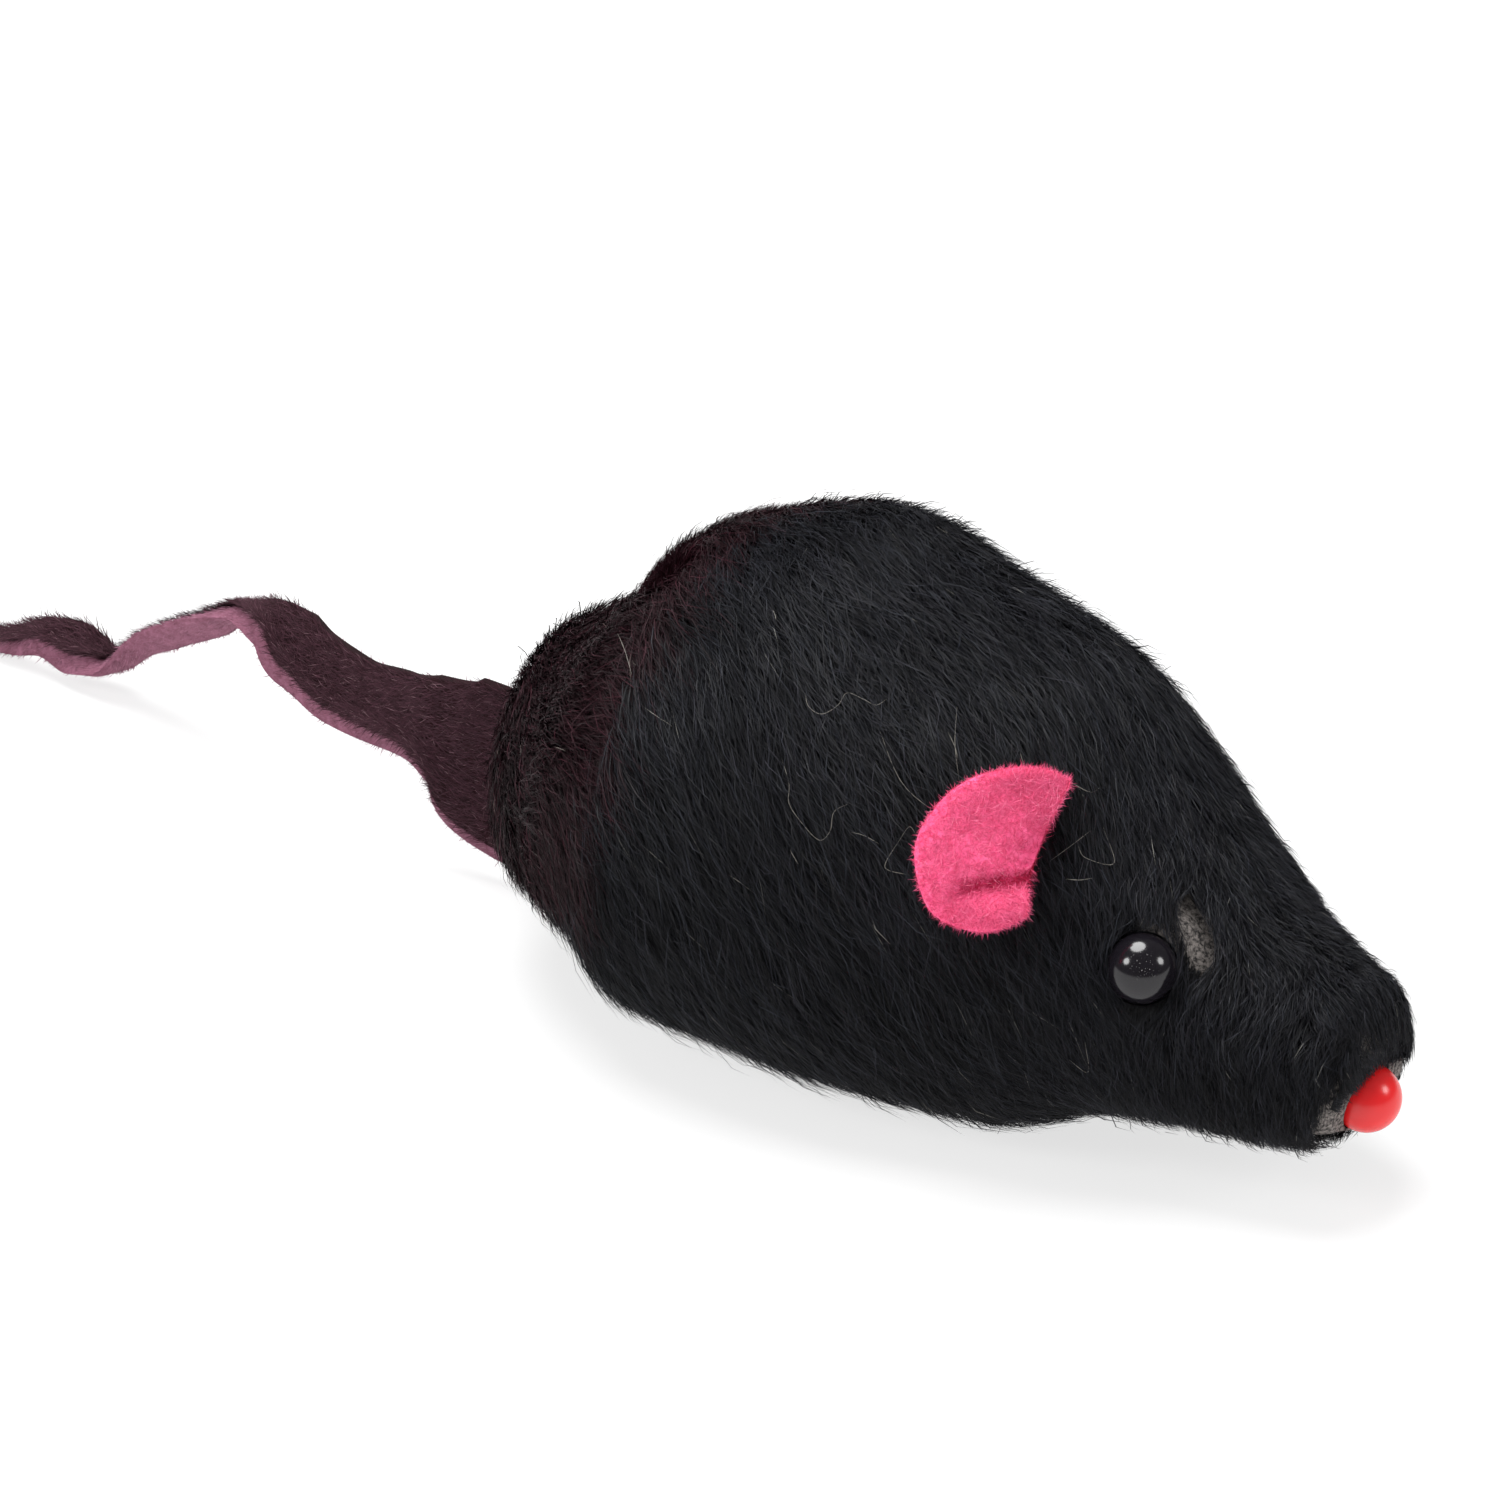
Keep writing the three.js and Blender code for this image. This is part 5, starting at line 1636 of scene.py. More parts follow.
@dataclass
class Tail:
    """The strip of hide, in two pieces that each span one of the frame's tail joints."""

    route: TailRoute = field(default_factory=TailRoute)
    hinge_x: float = -32.5 * MM
    reach: float = 49 * MM
    rise: float = 10.7 * MM
    sway: float = 3 * MM
    root_width: float = 12.4 * MM
    thickness: float = 1.2 * MM
    bevel: float = 1.3 * MM
    inside: float = 4.5 * MM  # how far the strip runs into the rump
    split_share: float = 0.26
    crest_share: float = 0.47
    bend: float = 2.2 * MM  # half the length that gives way at a joint
    face_columns: int = 30
    bevel_columns: int = 10
    back_columns: int = 26
    top_columns: int = 8
    pile_length: float = 0.95 * MM
    pile_width: float = 0.042 * MM
    clearance: float = 0.03 * MM  # of the pile over the floor

    def centre(self, t: np.ndarray) -> np.ndarray:
        """The strip's middle line. Before its hinge it runs straight into the rump."""
        places = self.route.along_shares
        return np.stack([
            self.hinge_x - t * self.reach,
            smooth_shares(places, self.route.sway_shares, t) * self.sway,
            smooth_shares(places, self.route.rise_shares, t) * self.rise,
        ], -1)

    def stations(self, t: np.ndarray) -> tuple:
        """Middle, width way, face way and half width at shares along the tail."""
        step = 2e-3
        ahead = unit(self.centre(t + step) - self.centre(t - step))
        ahead = np.where((t <= 0)[:, None], -X_AXIS, ahead)
        turn = smooth_shares(self.route.along_shares, self.route.turn_shares, t) * np.pi
        upright = np.stack([np.zeros_like(turn), np.sin(turn), np.cos(turn)], 1)
        wide = unit(upright - np.einsum("ij,ij->i", upright, ahead)[:, None] * ahead)
        half = smooth_shares(self.route.along_shares, self.route.width_shares, t) * self.root_width / 2
        return self.centre(t), wide, unit(np.cross(wide, ahead)), half

    @property
    def columns(self) -> int:
        """Points round a section."""
        return self.face_columns + self.bevel_columns + self.back_columns + self.top_columns

    def section(self) -> tuple:
        """Points round the strip's cut, as shares of its half width and half thickness.

        They run down the face, over the bevelled lower edge, up the back and over the top edge.
        """
        face, bevel, back, top = self.face_columns, self.bevel_columns, self.back_columns, self.top_columns
        across = np.concatenate([
            np.linspace(1, -1, face), np.full(bevel, -1.0), np.linspace(-1, 1, back), np.full(top, 1.0)])
        deep = np.concatenate([
            np.full(face, 1.0), np.linspace(1, -1, bevel), np.full(back, -1.0), np.linspace(-1, 1, top)])
        return across, deep

    def surface(self, t: np.ndarray, across: np.ndarray, deep: np.ndarray) -> np.ndarray:
        """Points of the strip: soft edges, and a slow unevenness along them.

        Args:
            t: shares along the tail.
            across: shares of the half width, towards the upper edge.
            deep: shares of the half thickness, towards the face.

        Returns:
            Points, in the shape that the arguments share.
        """
        middle, wide, face, half = self.stations(t.reshape(-1))
        shape = np.broadcast_shapes(t.shape, across.shape, deep.shape)
        spread = [np.broadcast_to(v.reshape(*t.shape, *v.shape[1:]), (*shape, *v.shape[1:]))
                  for v in (middle, wide, face, half)]
        middle, wide, face, half = spread
        bevel = np.minimum(self.bevel, half) * (1 + deep) / 2 * smoothstep(-across, 0.0, 1.0)
        along = np.broadcast_to(t, shape).reshape(-1)
        spots = np.stack([along * 22, np.zeros_like(along), np.zeros_like(along)], 1)
        edge = value_noise(spots, 1.0, 51).reshape(shape)
        reach = across * (half + 0.12 * MM * edge) + bevel
        rounding = 1 - 0.4 * np.abs(across) ** 7
        out = deep * self.thickness / 2 * rounding + 0.05 * half * across ** 2
        return middle + reach[..., None] * wide + out[..., None] * face

    def strip(self, name: str, start: float, end: float, rows: int) -> bpy.types.Object:
        """A stretch of the tail with its map: u round the section and v along it."""
        t = np.linspace(start, end, rows)
        across, deep = self.section()
        rings = self.surface(t[:, None], across[None, :], deep[None, :])
        flat = rings.reshape(-1, 3)
        rough = 0.05 * MM * value_noise(flat, 1.6 * MM, 41)
        _, _, face, _ = self.stations(t)
        push = (face[:, None] * deep[None, :, None]).reshape(-1, 3)
        piece = rings_object(name, (flat + push * rough[:, None]).reshape(rings.shape))
        corners = face_corners(piece)
        column = np.where(corners < rows * self.columns, corners % self.columns, 0)
        row = np.clip(corners // self.columns, 0, rows - 1)
        set_map(piece, STRIP_MAP, np.stack([(column + 0.5) / self.columns, t[row]], 1))
        face_out(piece)
        return piece

    def pile(
        self, name: str, start: float, end: float, count: int, rng: np.random.Generator,
    ) -> bpy.types.Object:
        """The short clipped pile on the dark face and, thinner, the nap on the suede.

        Args:
            name: the piece's name.
            start: share along the tail where it begins.
            end: share where it ends.
            count: how many strands.
            rng: the source of chance.

        Returns:
            The pile.
        """
        t = rng.uniform(start, end, count)
        chosen = rng.uniform(0, 1, count)
        on_face = chosen < 0.72
        on_back = ~on_face & (chosen < 0.93)
        across = np.where(on_face | on_back, rng.uniform(-1, 1, count), -1.0)
        deep = np.where(on_face, 1.0, np.where(on_back, -1.0, rng.uniform(-1, 1, count)))
        _, wide, face, _ = self.stations(t)
        root = self.surface(t, across, deep)
        out = np.where(on_face[:, None], face, np.where(on_back[:, None], -face, 0.5 * face - wide))
        ahead = self.surface(np.minimum(t + 2e-3, 1.0), across, deep) - root
        length = self.pile_length * rng.uniform(0.5, 1.3, count) * np.where(on_face, 1.0, 0.5)
        swing = rng.normal(0, 0.5, count)
        comb = np.cos(swing)[:, None] * unit(ahead) - np.sin(swing)[:, None] * wide
        lift = rng.uniform(0.1, 0.45, count)[:, None]
        centre = root - 0.05 * MM * out + length[:, None] * (0.5 * comb + 0.7 * lift * out)
        tip = root + length[:, None] * (comb + lift * out)
        centre, tip = (kept_above(station, self.clearance) for station in (centre, tip))
        dye_or_crease_shade = np.where(on_face, rng.uniform(0.02, 0.2, count), rng.uniform(0.8, 0.98, count))
        tone = np.clip(rng.normal(0.6, 0.15, count), 0.15, 0.95)
        made = Strands(
            np.stack([root - 0.08 * MM * out, centre, tip], 1), out,
            self.pile_width * rng.uniform(0.7, 1.3, count), rng.normal(0, 0.5, count), dye_or_crease_shade, tone)
        return made.build(name)


@dataclass(frozen=True)
class TailFinish:
    """Tail hide: dark nap on the face, mauve suede on the bevel and the back."""

    name: str
    nap_dark: tuple
    nap_light: tuple
    suede_dark: tuple
    suede_light: tuple
    face_end: float  # where the face ends round the strip's map
    back_end: float

    def material(self, effects: SharedEffects) -> bpy.types.Material:
        """Builds the material. The map runs from the face over the bevel to the back and the top."""
        material, sheet = fresh_material(self.name)
        place = sheet.object_place()
        around, _ = sheet.map_place(STRIP_MAP)
        fibre = sheet.group(effects.fibre, {"Place": place, "Fineness": 1500.0, "Contrast": 2.0})
        ragged = sheet.math("ADD", around, sheet.math("MULTIPLY", fibre.outputs["Height"], 0.03))
        suede_mask = sheet.rescaled(ragged, self.face_end, self.face_end + 0.03)
        top_mask = sheet.rescaled(ragged, self.back_end - 0.03, self.back_end)
        bare = sheet.add("ShaderNodeMath", {0: suede_mask, 1: top_mask}, operation="SUBTRACT", use_clamp=True)
        nap = sheet.ramp(fibre.outputs["Mask"], [(0.1, self.nap_dark), (0.9, self.nap_light)])
        suede = sheet.ramp(fibre.outputs["Mask"], [(0.1, self.suede_dark), (0.9, self.suede_light)])
        principled(sheet, {
            "Base Color": sheet.mix(bare.outputs[0], nap, suede), "Roughness": 0.95,
            "Normal": sheet.relief(fibre.outputs["Height"], 0.8, 0.15 * MM), "Specular IOR Level": 0.2,
        })
        return material


# Studio


def sightline(azimuth: float, elevation: float) -> np.ndarray:
    """The way from the mouse to a place at an azimuth and an elevation in degrees."""
    az, el = math.radians(azimuth), math.radians(elevation)
    return np.array([math.sin(az) * math.cos(el), -math.cos(az) * math.cos(el), math.sin(el)])


@dataclass
class Studio:
    """Camera at the photograph's angle, a pale floor, and soft lamps."""

    azimuth: float = 38.22
    elevation: float = 26.7
    distance: float = 322.44 * MM
    focal_px: float = 5420.92
    frame_px: int = 1500
    target_right: float = -10.96 * MM
    target_up: float = 16.94 * MM
    sensor: float = 36.0

    def axes(self) -> tuple:
        """The camera's way right, up and back, and its place."""
        back = sightline(self.azimuth, self.elevation)
        right = sightline(self.azimuth + 90, 0)
        up = np.cross(back, right)
        target = right * self.target_right + up * self.target_up
        return right, up, back, target + back * self.distance

    def ray(self, pixel: tuple) -> tuple:
        """The camera's place and the way through a pixel of the photograph."""
        right, up, back, place = self.axes()
        x = (pixel[0] - self.frame_px / 2) / self.focal_px
        y = (self.frame_px / 2 - pixel[1]) / self.focal_px
        return place, unit(right * x + up * y - back)

    def camera(self) -> None:
        """Places the camera."""
        right, up, back, place = self.axes()
        data = bpy.data.cameras.new("camera")
        data.sensor_width = self.sensor
        data.sensor_fit = "HORIZONTAL"
        data.lens = self.focal_px / self.frame_px * self.sensor
        data.clip_start = 0.01
        made = bpy.data.objects.new("camera", data)
        bpy.context.scene.collection.objects.link(made)
        turn = Matrix((right, up, back)).transposed().to_4x4()
        made.matrix_world = Matrix.Translation(Vector(place)) @ turn
        bpy.context.scene.camera = made

    def floor(self) -> None:
        """A wide pale floor that shows nearly white and keeps a soft shadow."""
        reach = 3.0
        points = np.array([[-reach, -reach, 0], [reach, -reach, 0], [reach, reach, 0], [-reach, reach, 0]])
        piece = mesh_object("floor", points, np.arange(4), np.array([4]))
        material, sheet = fresh_material("floor_paper")
        shader = sheet.add("ShaderNodeBsdfPrincipled", {
            "Base Color": (0.93, 0.93, 0.93, 1), "Roughness": 0.9, "Specular IOR Level": 0.1})
        white = sheet.add("ShaderNodeEmission", {"Color": (1, 1, 1, 1), "Strength": 1.0})
        path = sheet.add("ShaderNodeLightPath")
        seen = sheet.math("MAXIMUM", path.outputs["Is Camera Ray"], path.outputs["Is Glossy Ray"])
        seen = sheet.math("MAXIMUM", seen, path.outputs["Is Transmission Ray"])
        mixed = sheet.add("ShaderNodeMixShader", {
            0: sheet.math("MULTIPLY", seen, 0.72), 1: shader.outputs[0], 2: white.outputs[0]})
        sheet.add("ShaderNodeOutputMaterial", {"Surface": mixed.outputs[0]})
        piece.data.materials.append(material)

    def lamp(self, name: str, way: tuple, distance: float, size: float, power: float) -> None:
        """A round soft lamp, aimed at the mouse.

        Args:
            name: the lamp's name.
            way: azimuth and elevation in degrees, in the camera's terms.
            distance: how far off it stands.
            size: its width.
            power: in watts.
        """
        back = Vector(sightline(*way))
        data = bpy.data.lights.new(name, "AREA")
        data.shape = "DISK"
        data.size = size
        data.energy = power
        made = bpy.data.objects.new(name, data)
        bpy.context.scene.collection.objects.link(made)
        made.location = back * distance + Vector((0, 0, 0.01))
        made.rotation_euler = back.to_track_quat("Z", "Y").to_euler()

    def world(self) -> None:
        """White surroundings: plain white to the camera, softer as light."""
        world = bpy.data.worlds.new("surroundings")
        bpy.context.scene.world = world
        world.use_nodes = True
        sheet = NodeSheet(world.node_tree)
        path = sheet.add("ShaderNodeLightPath")
        light = sheet.math("SUBTRACT", 0.5, sheet.math("MULTIPLY", path.outputs["Is Glossy Ray"], 0.36))
        strength = sheet.math("MAXIMUM", path.outputs["Is Camera Ray"], light)
        background = sheet.add("ShaderNodeBackground", {"Color": (1, 1, 1, 1), "Strength": strength})
        sheet.add("ShaderNodeOutputWorld", {"Surface": background.outputs[0]})

    def build(self) -> None:
        """Sets up the whole studio."""
        self.camera()
        self.floor()
        self.world()
        self.lamp("top_softbox", (-105, 74), 0.6, 0.42, 5.2)
        self.lamp("right_softbox", (112, 30), 0.6, 0.2, 1.0)
        self.lamp("left_softbox", (-30, 34), 0.6, 0.2, 1.3)
        bpy.context.scene.view_settings.view_transform = "Standard"


@dataclass
class LooseHairs:
    """Pale stray hairs caught in the coat, each laid over the form along its places in the photograph."""

    studio: Studio
    surfaces: list  # closed grids of points that the hairs lie on
    radius: float = 0.017 * MM
    lift: float = 0.22 * MM
    steps: int = 14
    sides: int = 4
    routes: tuple = (
        ((880, 731), (893, 766), (907, 789), (930, 809)),
        ((957, 707), (955, 743), (959, 780)),
        ((948, 732), (955, 747), (958, 760)),
        ((959, 781), (977, 776), (1000, 768)),
        ((805, 694), (809, 707), (822, 714), (838, 705), (847, 693), (863, 699), (876, 705), (887, 699)),
        ((782, 759), (789, 784), (789, 803), (801, 822), (819, 840), (830, 831), (834, 812), (848, 804)),
        ((916, 834), (909, 827), (899, 841), (886, 862), (888, 870), (909, 875)),
        ((851, 832), (865, 836), (879, 844)),
        ((1070, 782), (1090, 792), (1101, 787)),
        ((1050, 861), (1072, 845), (1090, 831)),
        ((1103, 827), (1114, 863), (1086, 858), (1078, 846)),
        ((1066, 879), (1080, 880), (1093, 878)),
        ((1085, 1042), (1088, 1072), (1069, 1060)),
        ((618, 634), (625, 651), (632, 675)),
        ((645, 708), (658, 717), (672, 726)),
        ((773, 610), (775, 615), (776, 620)),
        ((729, 875), (735, 879), (741, 883)),
        ((790, 850), (794, 857), (798, 864)),
    )

    def landed(self, pixels: tuple) -> np.ndarray:
        """The nearest surface under each pixel, lifted a little towards the camera."""
        places = []
        for pixel in pixels:
            eye, way = self.studio.ray(pixel)
            hits = [tree.ray_cast(Vector(eye), Vector(way)) for tree in self.surfaces]
            hits = [hit for hit in hits if hit[0] is not None]
            if hits:
                nearest = min(hits, key=lambda hit: hit[3])
                places.append(np.array(nearest[0]) - self.lift * way)
        return np.array(places)

    def line(self, places: np.ndarray) -> np.ndarray:
        """A smooth line through places, with half the difference of a place's neighbours as slope."""
        padded = np.concatenate([2 * places[:1] - places[1:2], places, 2 * places[-1:] - places[-2:-1]])
        s = np.linspace(0, len(places) - 1, self.steps * (len(places) - 1) + 1)
        i = np.minimum(s.astype(int), len(places) - 2)
        u = (s - i)[:, None]
        a, b, c, d = (padded[i + k] for k in range(4))
        square, cube = 2 * a - 5 * b + 4 * c - d, 3 * b - a - 3 * c + d
        return 0.5 * (2 * b + (c - a) * u + square * u ** 2 + cube * u ** 3)

    def build(self, name: str) -> bpy.types.Object:
        """Makes the hairs as one mesh of thin closed tubes."""
        points, quads, start = [], [], 0
        turn = np.arange(self.sides) * 2 * np.pi / self.sides
        for route in self.routes:
            line = self.line(self.landed(route))
            run = unit(np.gradient(line, axis=0))
            side = unit(np.cross(run, Z_AXIS + 0.1 * X_AXIS))
            other = np.cross(run, side)
            steps = np.arange(len(line))
            taper = self.radius * np.clip(np.minimum(steps, steps[::-1]) / 6, 0.25, 1)
            spokes = np.cos(turn)[:, None, None] * side + np.sin(turn)[:, None, None] * other
            tube = (line + taper[:, None] * spokes).swapaxes(0, 1)
            points.append(tube.reshape(-1, 3))
            quads.append(grid_quads(len(line), self.sides, False) + start)
            ends = np.arange(self.sides)
            quads.append(np.stack([ends[::-1] + start, ends + start + (len(line) - 1) * self.sides]))
            start += len(points[-1])
        corners = np.concatenate(quads)
        return mesh_object(name, np.concatenate(points), corners.ravel(), np.full(len(corners), 4))


# The mouse


EARS = (
    FeltEar("right_ear_felt", EarShape(0.7025, 43, 55, 0, Side.RIGHT), Body.RIGHT_EAR, "ear_right"),
    FeltEar("left_ear_felt", EarShape(0.66, 6, 54, 55, Side.LEFT), Body.LEFT_EAR, "ear_left"),
)
MAIN_STRETCHES = (
    Stretch("fur_haunch", SEAM_SHARE + 0.008, 0.31, 33000),
    Stretch("fur_back", 0.31, 0.42, 33000),
    Stretch("fur_saddle", 0.42, 0.53, 33000),
    Stretch("fur_shoulder", 0.53, 0.65, 33000),
    Stretch("fur_neck", 0.65, 0.77, 33000),
    Stretch("fur_cheek", 0.77, 0.88, 34000),
    Stretch("fur_snout", 0.88, 0.995, 30000),
)
RUMP_STRETCHES = (Stretch("fur_rump", 0.004, SEAM_SHARE, 36000),)
BORDER_STRETCHES = (Stretch("fur_border", 0.13, 0.23, 24000),)
RUMP_NAP = Nap(
    body_turns=(-0.4, -0.35, -0.25, -0.1, 0.1, 0.2, 0.3, 0.35, 0.4), head_start_share=0.9, head_end_share=1.0)
SLIT_PLACES = ((0.822, 62), (0.83, 60), (0.8375, 58), (0.845, 55.5), (0.85, 53))  # share along, degrees up
SLIT_SEATS = [FORM.seat(share, rise, Side.RIGHT) for share, rise in SLIT_PLACES]


def dress_frame(effects: SharedEffects) -> None:
    """Gives the frame's hidden rigid pieces their finishes."""
    black = PlasticFinish("former_plastic", (0.012, 0.012, 0.014), 0.4).material(effects)
    pale = PlasticFinish("rattle_plastic", (0.68, 0.7, 0.72), 0.25, mottle=0.05).material(effects)
    steel = PlasticFinish("rattle_steel", (0.55, 0.56, 0.57), 0.25, metallic=1.0).material(effects)
    hide = HideFinish("tongue_hide", (0.03, 0.014, 0.02), (0.12, 0.06, 0.08), 1500.0, 2.0).material(effects)
    worn = {
        "core_shell_left": black, "core_shell_right": black, "rattle_drum": pale, "rattle_lid": pale,
        "rattle_ball_1": steel, "rattle_ball_2": steel, "rattle_ball_3": steel, "tail_tongue": hide,
    }
    for name, material in worn.items():
        wear(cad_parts[name], material)


def catnip_bag(effects: SharedEffects) -> None:
    """A muslin bag in the former: the form drawn in, with rounded ends gathered into small pleats."""
    low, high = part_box("catnip_pouch")
    gap = 0.25 * MM
    start, end = FORM.share_at(low.x + gap), FORM.share_at(high.x - gap)
    share = np.linspace(0.004, 0.996, 90)
    angle = np.linspace(0, 2 * np.pi, 120, endpoint=False)
    ends = (1 - np.abs(2 * share - 1) ** 6) ** 0.45
    depth = FORM.pelt + 2 * FORMER_GAP + FORMER_WALL + gap
    t = lerp(start, end, share)[:, None]
    shell = FORM.point(t, angle[None, :], FORM.layer_depth(t, depth))
    middle = shell.mean(1, keepdims=True)
    gather = smoothstep(np.abs(2 * share - 1), 0.4, 1.0)[:, None]
    pleats = 1 - gather * 0.08 * (1 + np.cos(22 * angle[None, :])) / 2
    noise = value_noise(shell.reshape(-1, 3), 2.5 * MM, 61).reshape(shell.shape[:2])
    wrinkle = 1 - 0.02 * (1 + noise) / 2
    rings = middle + (shell - middle) * (ends[:, None] * pleats * wrinkle)[..., None]
    piece = rings_object("catnip_bag", rings)
    face_out(piece)
    material = MuslinFinish("muslin", (0.42, 0.38, 0.28), (0.68, 0.64, 0.52)).material(effects)
    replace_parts(finished(piece, Body.TRUNK, material), "catnip_pouch")


def dress_hides(effects: SharedEffects, pelt: Pelt) -> None:
    """The two pelts' hide, bare round the nose and along the slit."""
    hide = PeltHideFinish(
        "pelt_hide", (0.003, 0.003, 0.0035), (0.022, 0.02, 0.02), (0.24, 0.215, 0.2), SLIT_SEATS[2],
        (2.2 * MM, 3.6 * MM), 1.9 * MM).material(effects)
    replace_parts(finished(pelt.main_hide(), Body.TRUNK, hide), "pelt_main")
    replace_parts(finished(pelt.rump_hide(), Body.TRUNK, hide), "pelt_rump")


def grow_fur(effects: SharedEffects, pelt: Pelt) -> None:
    """The fur in named stretches, and the pile over the main pelt's rear edge and on the lip."""
    fur = StrandFinish(
        # root colours are painted shade deep in the pile; tip colours are the black and the maroon
        "fur_strands", root=(0.0009, 0.0009, 0.0012), tip=(0.031, 0.037, 0.05),
        other_root=(0.002, 0.0006, 0.001), other_tip=(0.078, 0.015, 0.027),
        glint=(0.22, 0.21, 0.18), roughness=0.6, specular=0.2).material(effects)
    clear_of = [
        *((seat.point, seat.out, 2.12 * MM, 1.86 * MM) for seat in EYE_SEATS.values()),
        *((seat.point, seat.out, 0.85 * MM, 0.62 * MM) for seat in SLIT_SEATS),
        (LIP.middle, LIP.out, 2.3 * MM, 2.05 * MM),
    ]
    main_coat = Coat(FORM, MAIN_STRETCHES, clear_of=clear_of)
    border_coat = Coat(
        FORM, BORDER_STRETCHES, nap=RUMP_NAP, length=4.6 * MM, tip_depth=0.2 * MM, top_limit=0.93)
    rump_coat = Coat(
        RUMP_FORM, RUMP_STRETCHES, nap=RUMP_NAP, length=3.4 * MM, root_depth=1.4 * MM, tip_depth=0.1 * MM,
        clump=0.9 * MM, edge_sink=-1.2 * MM, edge_shares=(0.09, 0.19))
    for coat, slot in ((main_coat, "black_fur"), (border_coat, "maroon_fur"), (rump_coat, "maroon_fur")):
        for number, stretch in enumerate(coat.stretches):
            strands = coat.strands(stretch, np.random.default_rng(SEED + 10 * number))
            finished(strands.build(stretch.name), Body.TRUNK, fur)
    pile = EdgePile(FORM, FORM.share_at(FORM.along(SEAM_SHARE) + pelt.seam_gap))
    finished(pile.strands(np.random.default_rng(SEED + 90)).build("fur_roll"), Body.TRUNK, fur)
    turn = np.linspace(0, 2 * np.pi, pelt.columns, endpoint=False)
    front = pelt.front_share(turn, lambda t: 0.5 * MM, 0)
    lip = LipPile(FORM.point(front, turn, 0.5 * MM)).strands(np.random.default_rng(SEED + 91))
    finished(lip.build("fur_lip"), Body.TRUNK, fur)


def dress_beads(effects: SharedEffects) -> None:
    """The eyes, with some dust on the right one's front, and the nose."""
    seat = EYE_SEATS[Side.RIGHT]
    front = seat.point + (EYE_RADIUS - EYE_SINK) * seat.out + 0.35 * MM * seat.up
    eye = PlasticFinish("eye_gloss", (0.006, 0.005, 0.007), 0.14, dust=0.7, dust_at=tuple(front))
    nose = PlasticFinish("nose_gloss", (0.63, 0.011, 0.013), 0.24)
    Beads().build(eye.material(effects), nose.material(effects))


def dress_ears(effects: SharedEffects) -> None:
    """The two felt ears with their fuzz."""
    # the first colour is painted shade in the crease, the second is painted shade in the pits
    felt = FeltFinish(
        "ear_felt", (0.34, 0.014, 0.055), (0.72, 0.06, 0.18), (0.86, 0.085, 0.23),
        (0.95, 0.16, 0.34)).material(effects)
    fuzz = StrandFinish(
        # root colours are painted shade at the fibres' base; other_root and other_tip are painted shade in
        # the crease
        "ear_fuzz", root=(0.62, 0.03, 0.105), tip=(0.99, 0.2, 0.39),
        other_root=(0.25, 0.006, 0.025), other_tip=(0.5, 0.025, 0.085),
        glint=(0.98, 0.5, 0.64), roughness=0.9, specular=0.05).material(effects)
    for ear in EARS:
        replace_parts(finished(ear.leaf(), ear.body, felt), ear.node)
        finished(ear.fuzz(np.random.default_rng(SEED + 70)), ear.body, fuzz)


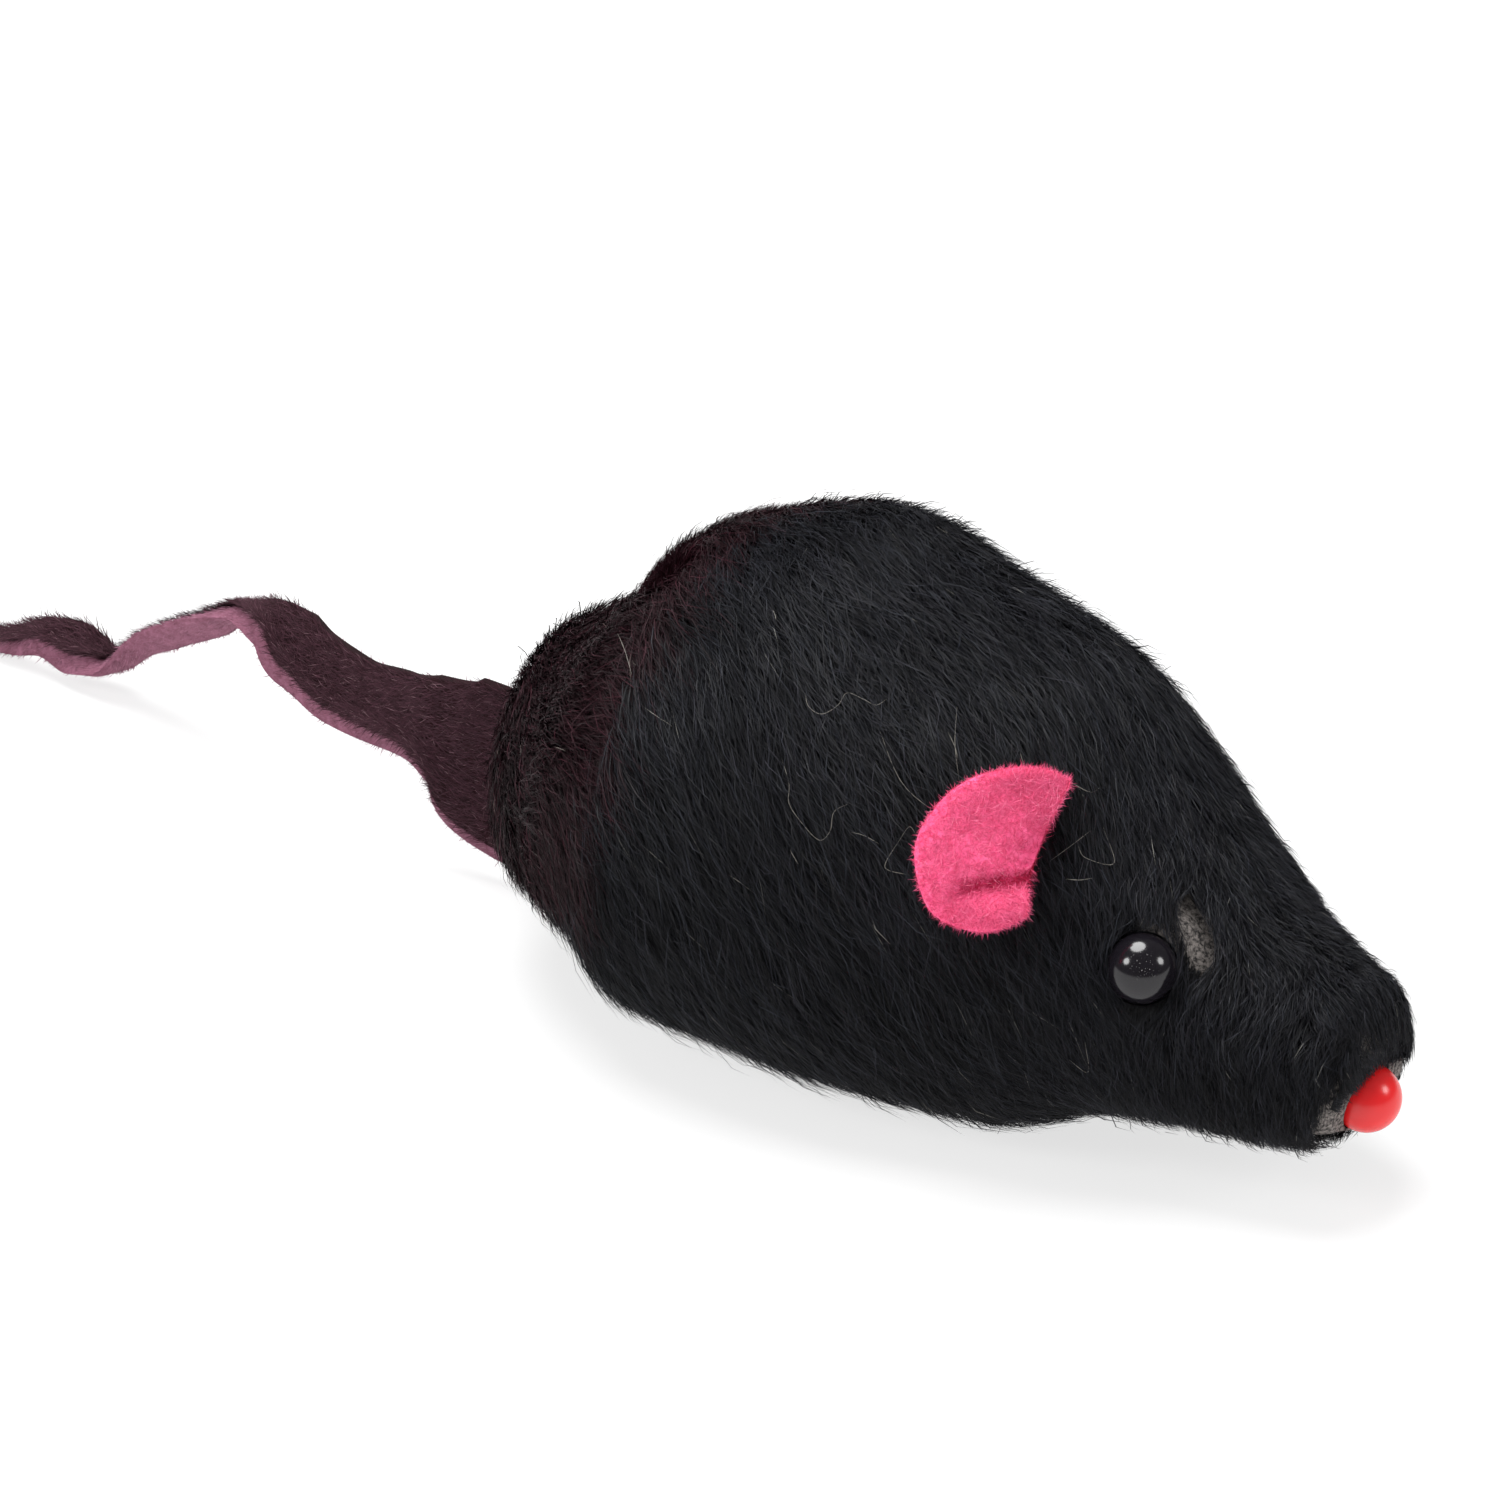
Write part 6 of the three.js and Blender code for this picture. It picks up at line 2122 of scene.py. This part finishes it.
def dress_tail(effects: SharedEffects) -> None:
    """The tail's strip and pile in two pieces, each of which spans one joint."""
    tail = Tail()
    hide = TailFinish(
        "tail_strip_hide", (0.006, 0.0013, 0.0022), (0.022, 0.0045, 0.0075), (0.13, 0.042, 0.066),
        (0.27, 0.11, 0.165), (tail.face_columns + 1) / tail.columns,
        1 - (tail.top_columns + 1) / tail.columns).material(effects)
    pile = StrandFinish(
        # root colours are painted shade at the base of the pile; the other pair is the suede's nap, also
        # shaded at its root
        "tail_pile", root=(0.004, 0.0009, 0.0015), tip=(0.036, 0.0075, 0.0125),
        other_root=(0.16, 0.055, 0.085), other_tip=(0.4, 0.18, 0.26),
        glint=(0.4, 0.25, 0.28), roughness=0.75, specular=0.2).material(effects)
    inside = -tail.inside / tail.reach
    split = tail.split_share
    halves = (  # name, start, end, rows, strands, joint's share, the two bodies, the frame's piece
        ("tail_first_half", inside, split, 90, 18000, 0.0, Body.TRUNK, Body.TAIL_ROOT, "tail_strip"),
        ("tail_second_half", split, 0.998, 200, 22000, tail.crest_share, Body.TAIL_ROOT, Body.TAIL_END,
         "tail_tip"),
    )
    for name, start, end, rows, count, joint, near, beyond, node in halves:
        strip = tail.strip(name, start, end, rows)
        rng = np.random.default_rng(SEED + 80)
        strands = tail.pile(name + "_pile", max(start, -0.05), end, count, rng)
        for piece, material in ((strip, hide), (strands, pile)):
            bending(piece, material, near, beyond)
        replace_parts(strip, node)


def bending(
    piece: bpy.types.Object, material: bpy.types.Material, near: Body, beyond: Body,
) -> None:
    """Finishes a tail piece that spans a joint between two bodies: gives it its material, bakes its place
    into its mesh, and reports it.

    Args:
        piece: the piece.
        material: its material.
        near: the body nearer the rump.
        beyond: the body on the joint's other side.
    """
    wear(piece, material)
    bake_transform(piece)
    faces = len(piece.data.polygons)
    LOG.info("%s: %d faces, bends from %s to %s", piece.name, faces, near.value, beyond.value)


def stray_hairs(studio: Studio) -> None:
    """The pale stray hairs on the coat and the right ear."""
    angle = np.linspace(0, 2 * np.pi, 240, endpoint=False)
    t = np.linspace(0.01, 0.99, 300)[:, None]
    side = np.linspace(-1, 1, 60)
    outward = np.linspace(0, 1, 40)[:, None]
    leaf = np.broadcast_arrays(outward, side[None, :])
    face, _ = EARS[0].faces(*leaf, np.full(leaf[0].shape, EarShape.thickness / 2))
    grids = ((FORM.point(t, angle[None, :], 0.3 * MM), 240), (RUMP_FORM.point(t[:64], angle[None, :]), 240))
    trees = [
        BVHTree.FromPolygons(grid.reshape(-1, 3).tolist(), grid_quads(len(grid), columns, False).tolist())
        for grid, columns in (*grids, (face, 60))
    ]
    shell, sheet = fresh_material("stray_hair")
    tint = sheet.noise(sheet.object_place(), 700.0)
    principled(sheet, {
        "Base Color": sheet.mix(tint, (0.05, 0.047, 0.043), (0.36, 0.335, 0.29)), "Roughness": 0.45})
    finished(LooseHairs(studio, trees).build("stray_hairs"), Body.TRUNK, shell)


def main() -> None:
    """Builds the mouse and its studio."""
    logging.basicConfig(level=logging.INFO, format="%(name)s %(message)s")
    effects = SharedEffects()
    studio = Studio()
    studio.build()
    dress_frame(effects)
    catnip_bag(effects)
    pelt = Pelt()
    dress_hides(effects, pelt)
    grow_fur(effects, pelt)
    dress_beads(effects)
    dress_ears(effects)
    dress_tail(effects)
    stray_hairs(studio)


if __name__ == "__main__":
    main()
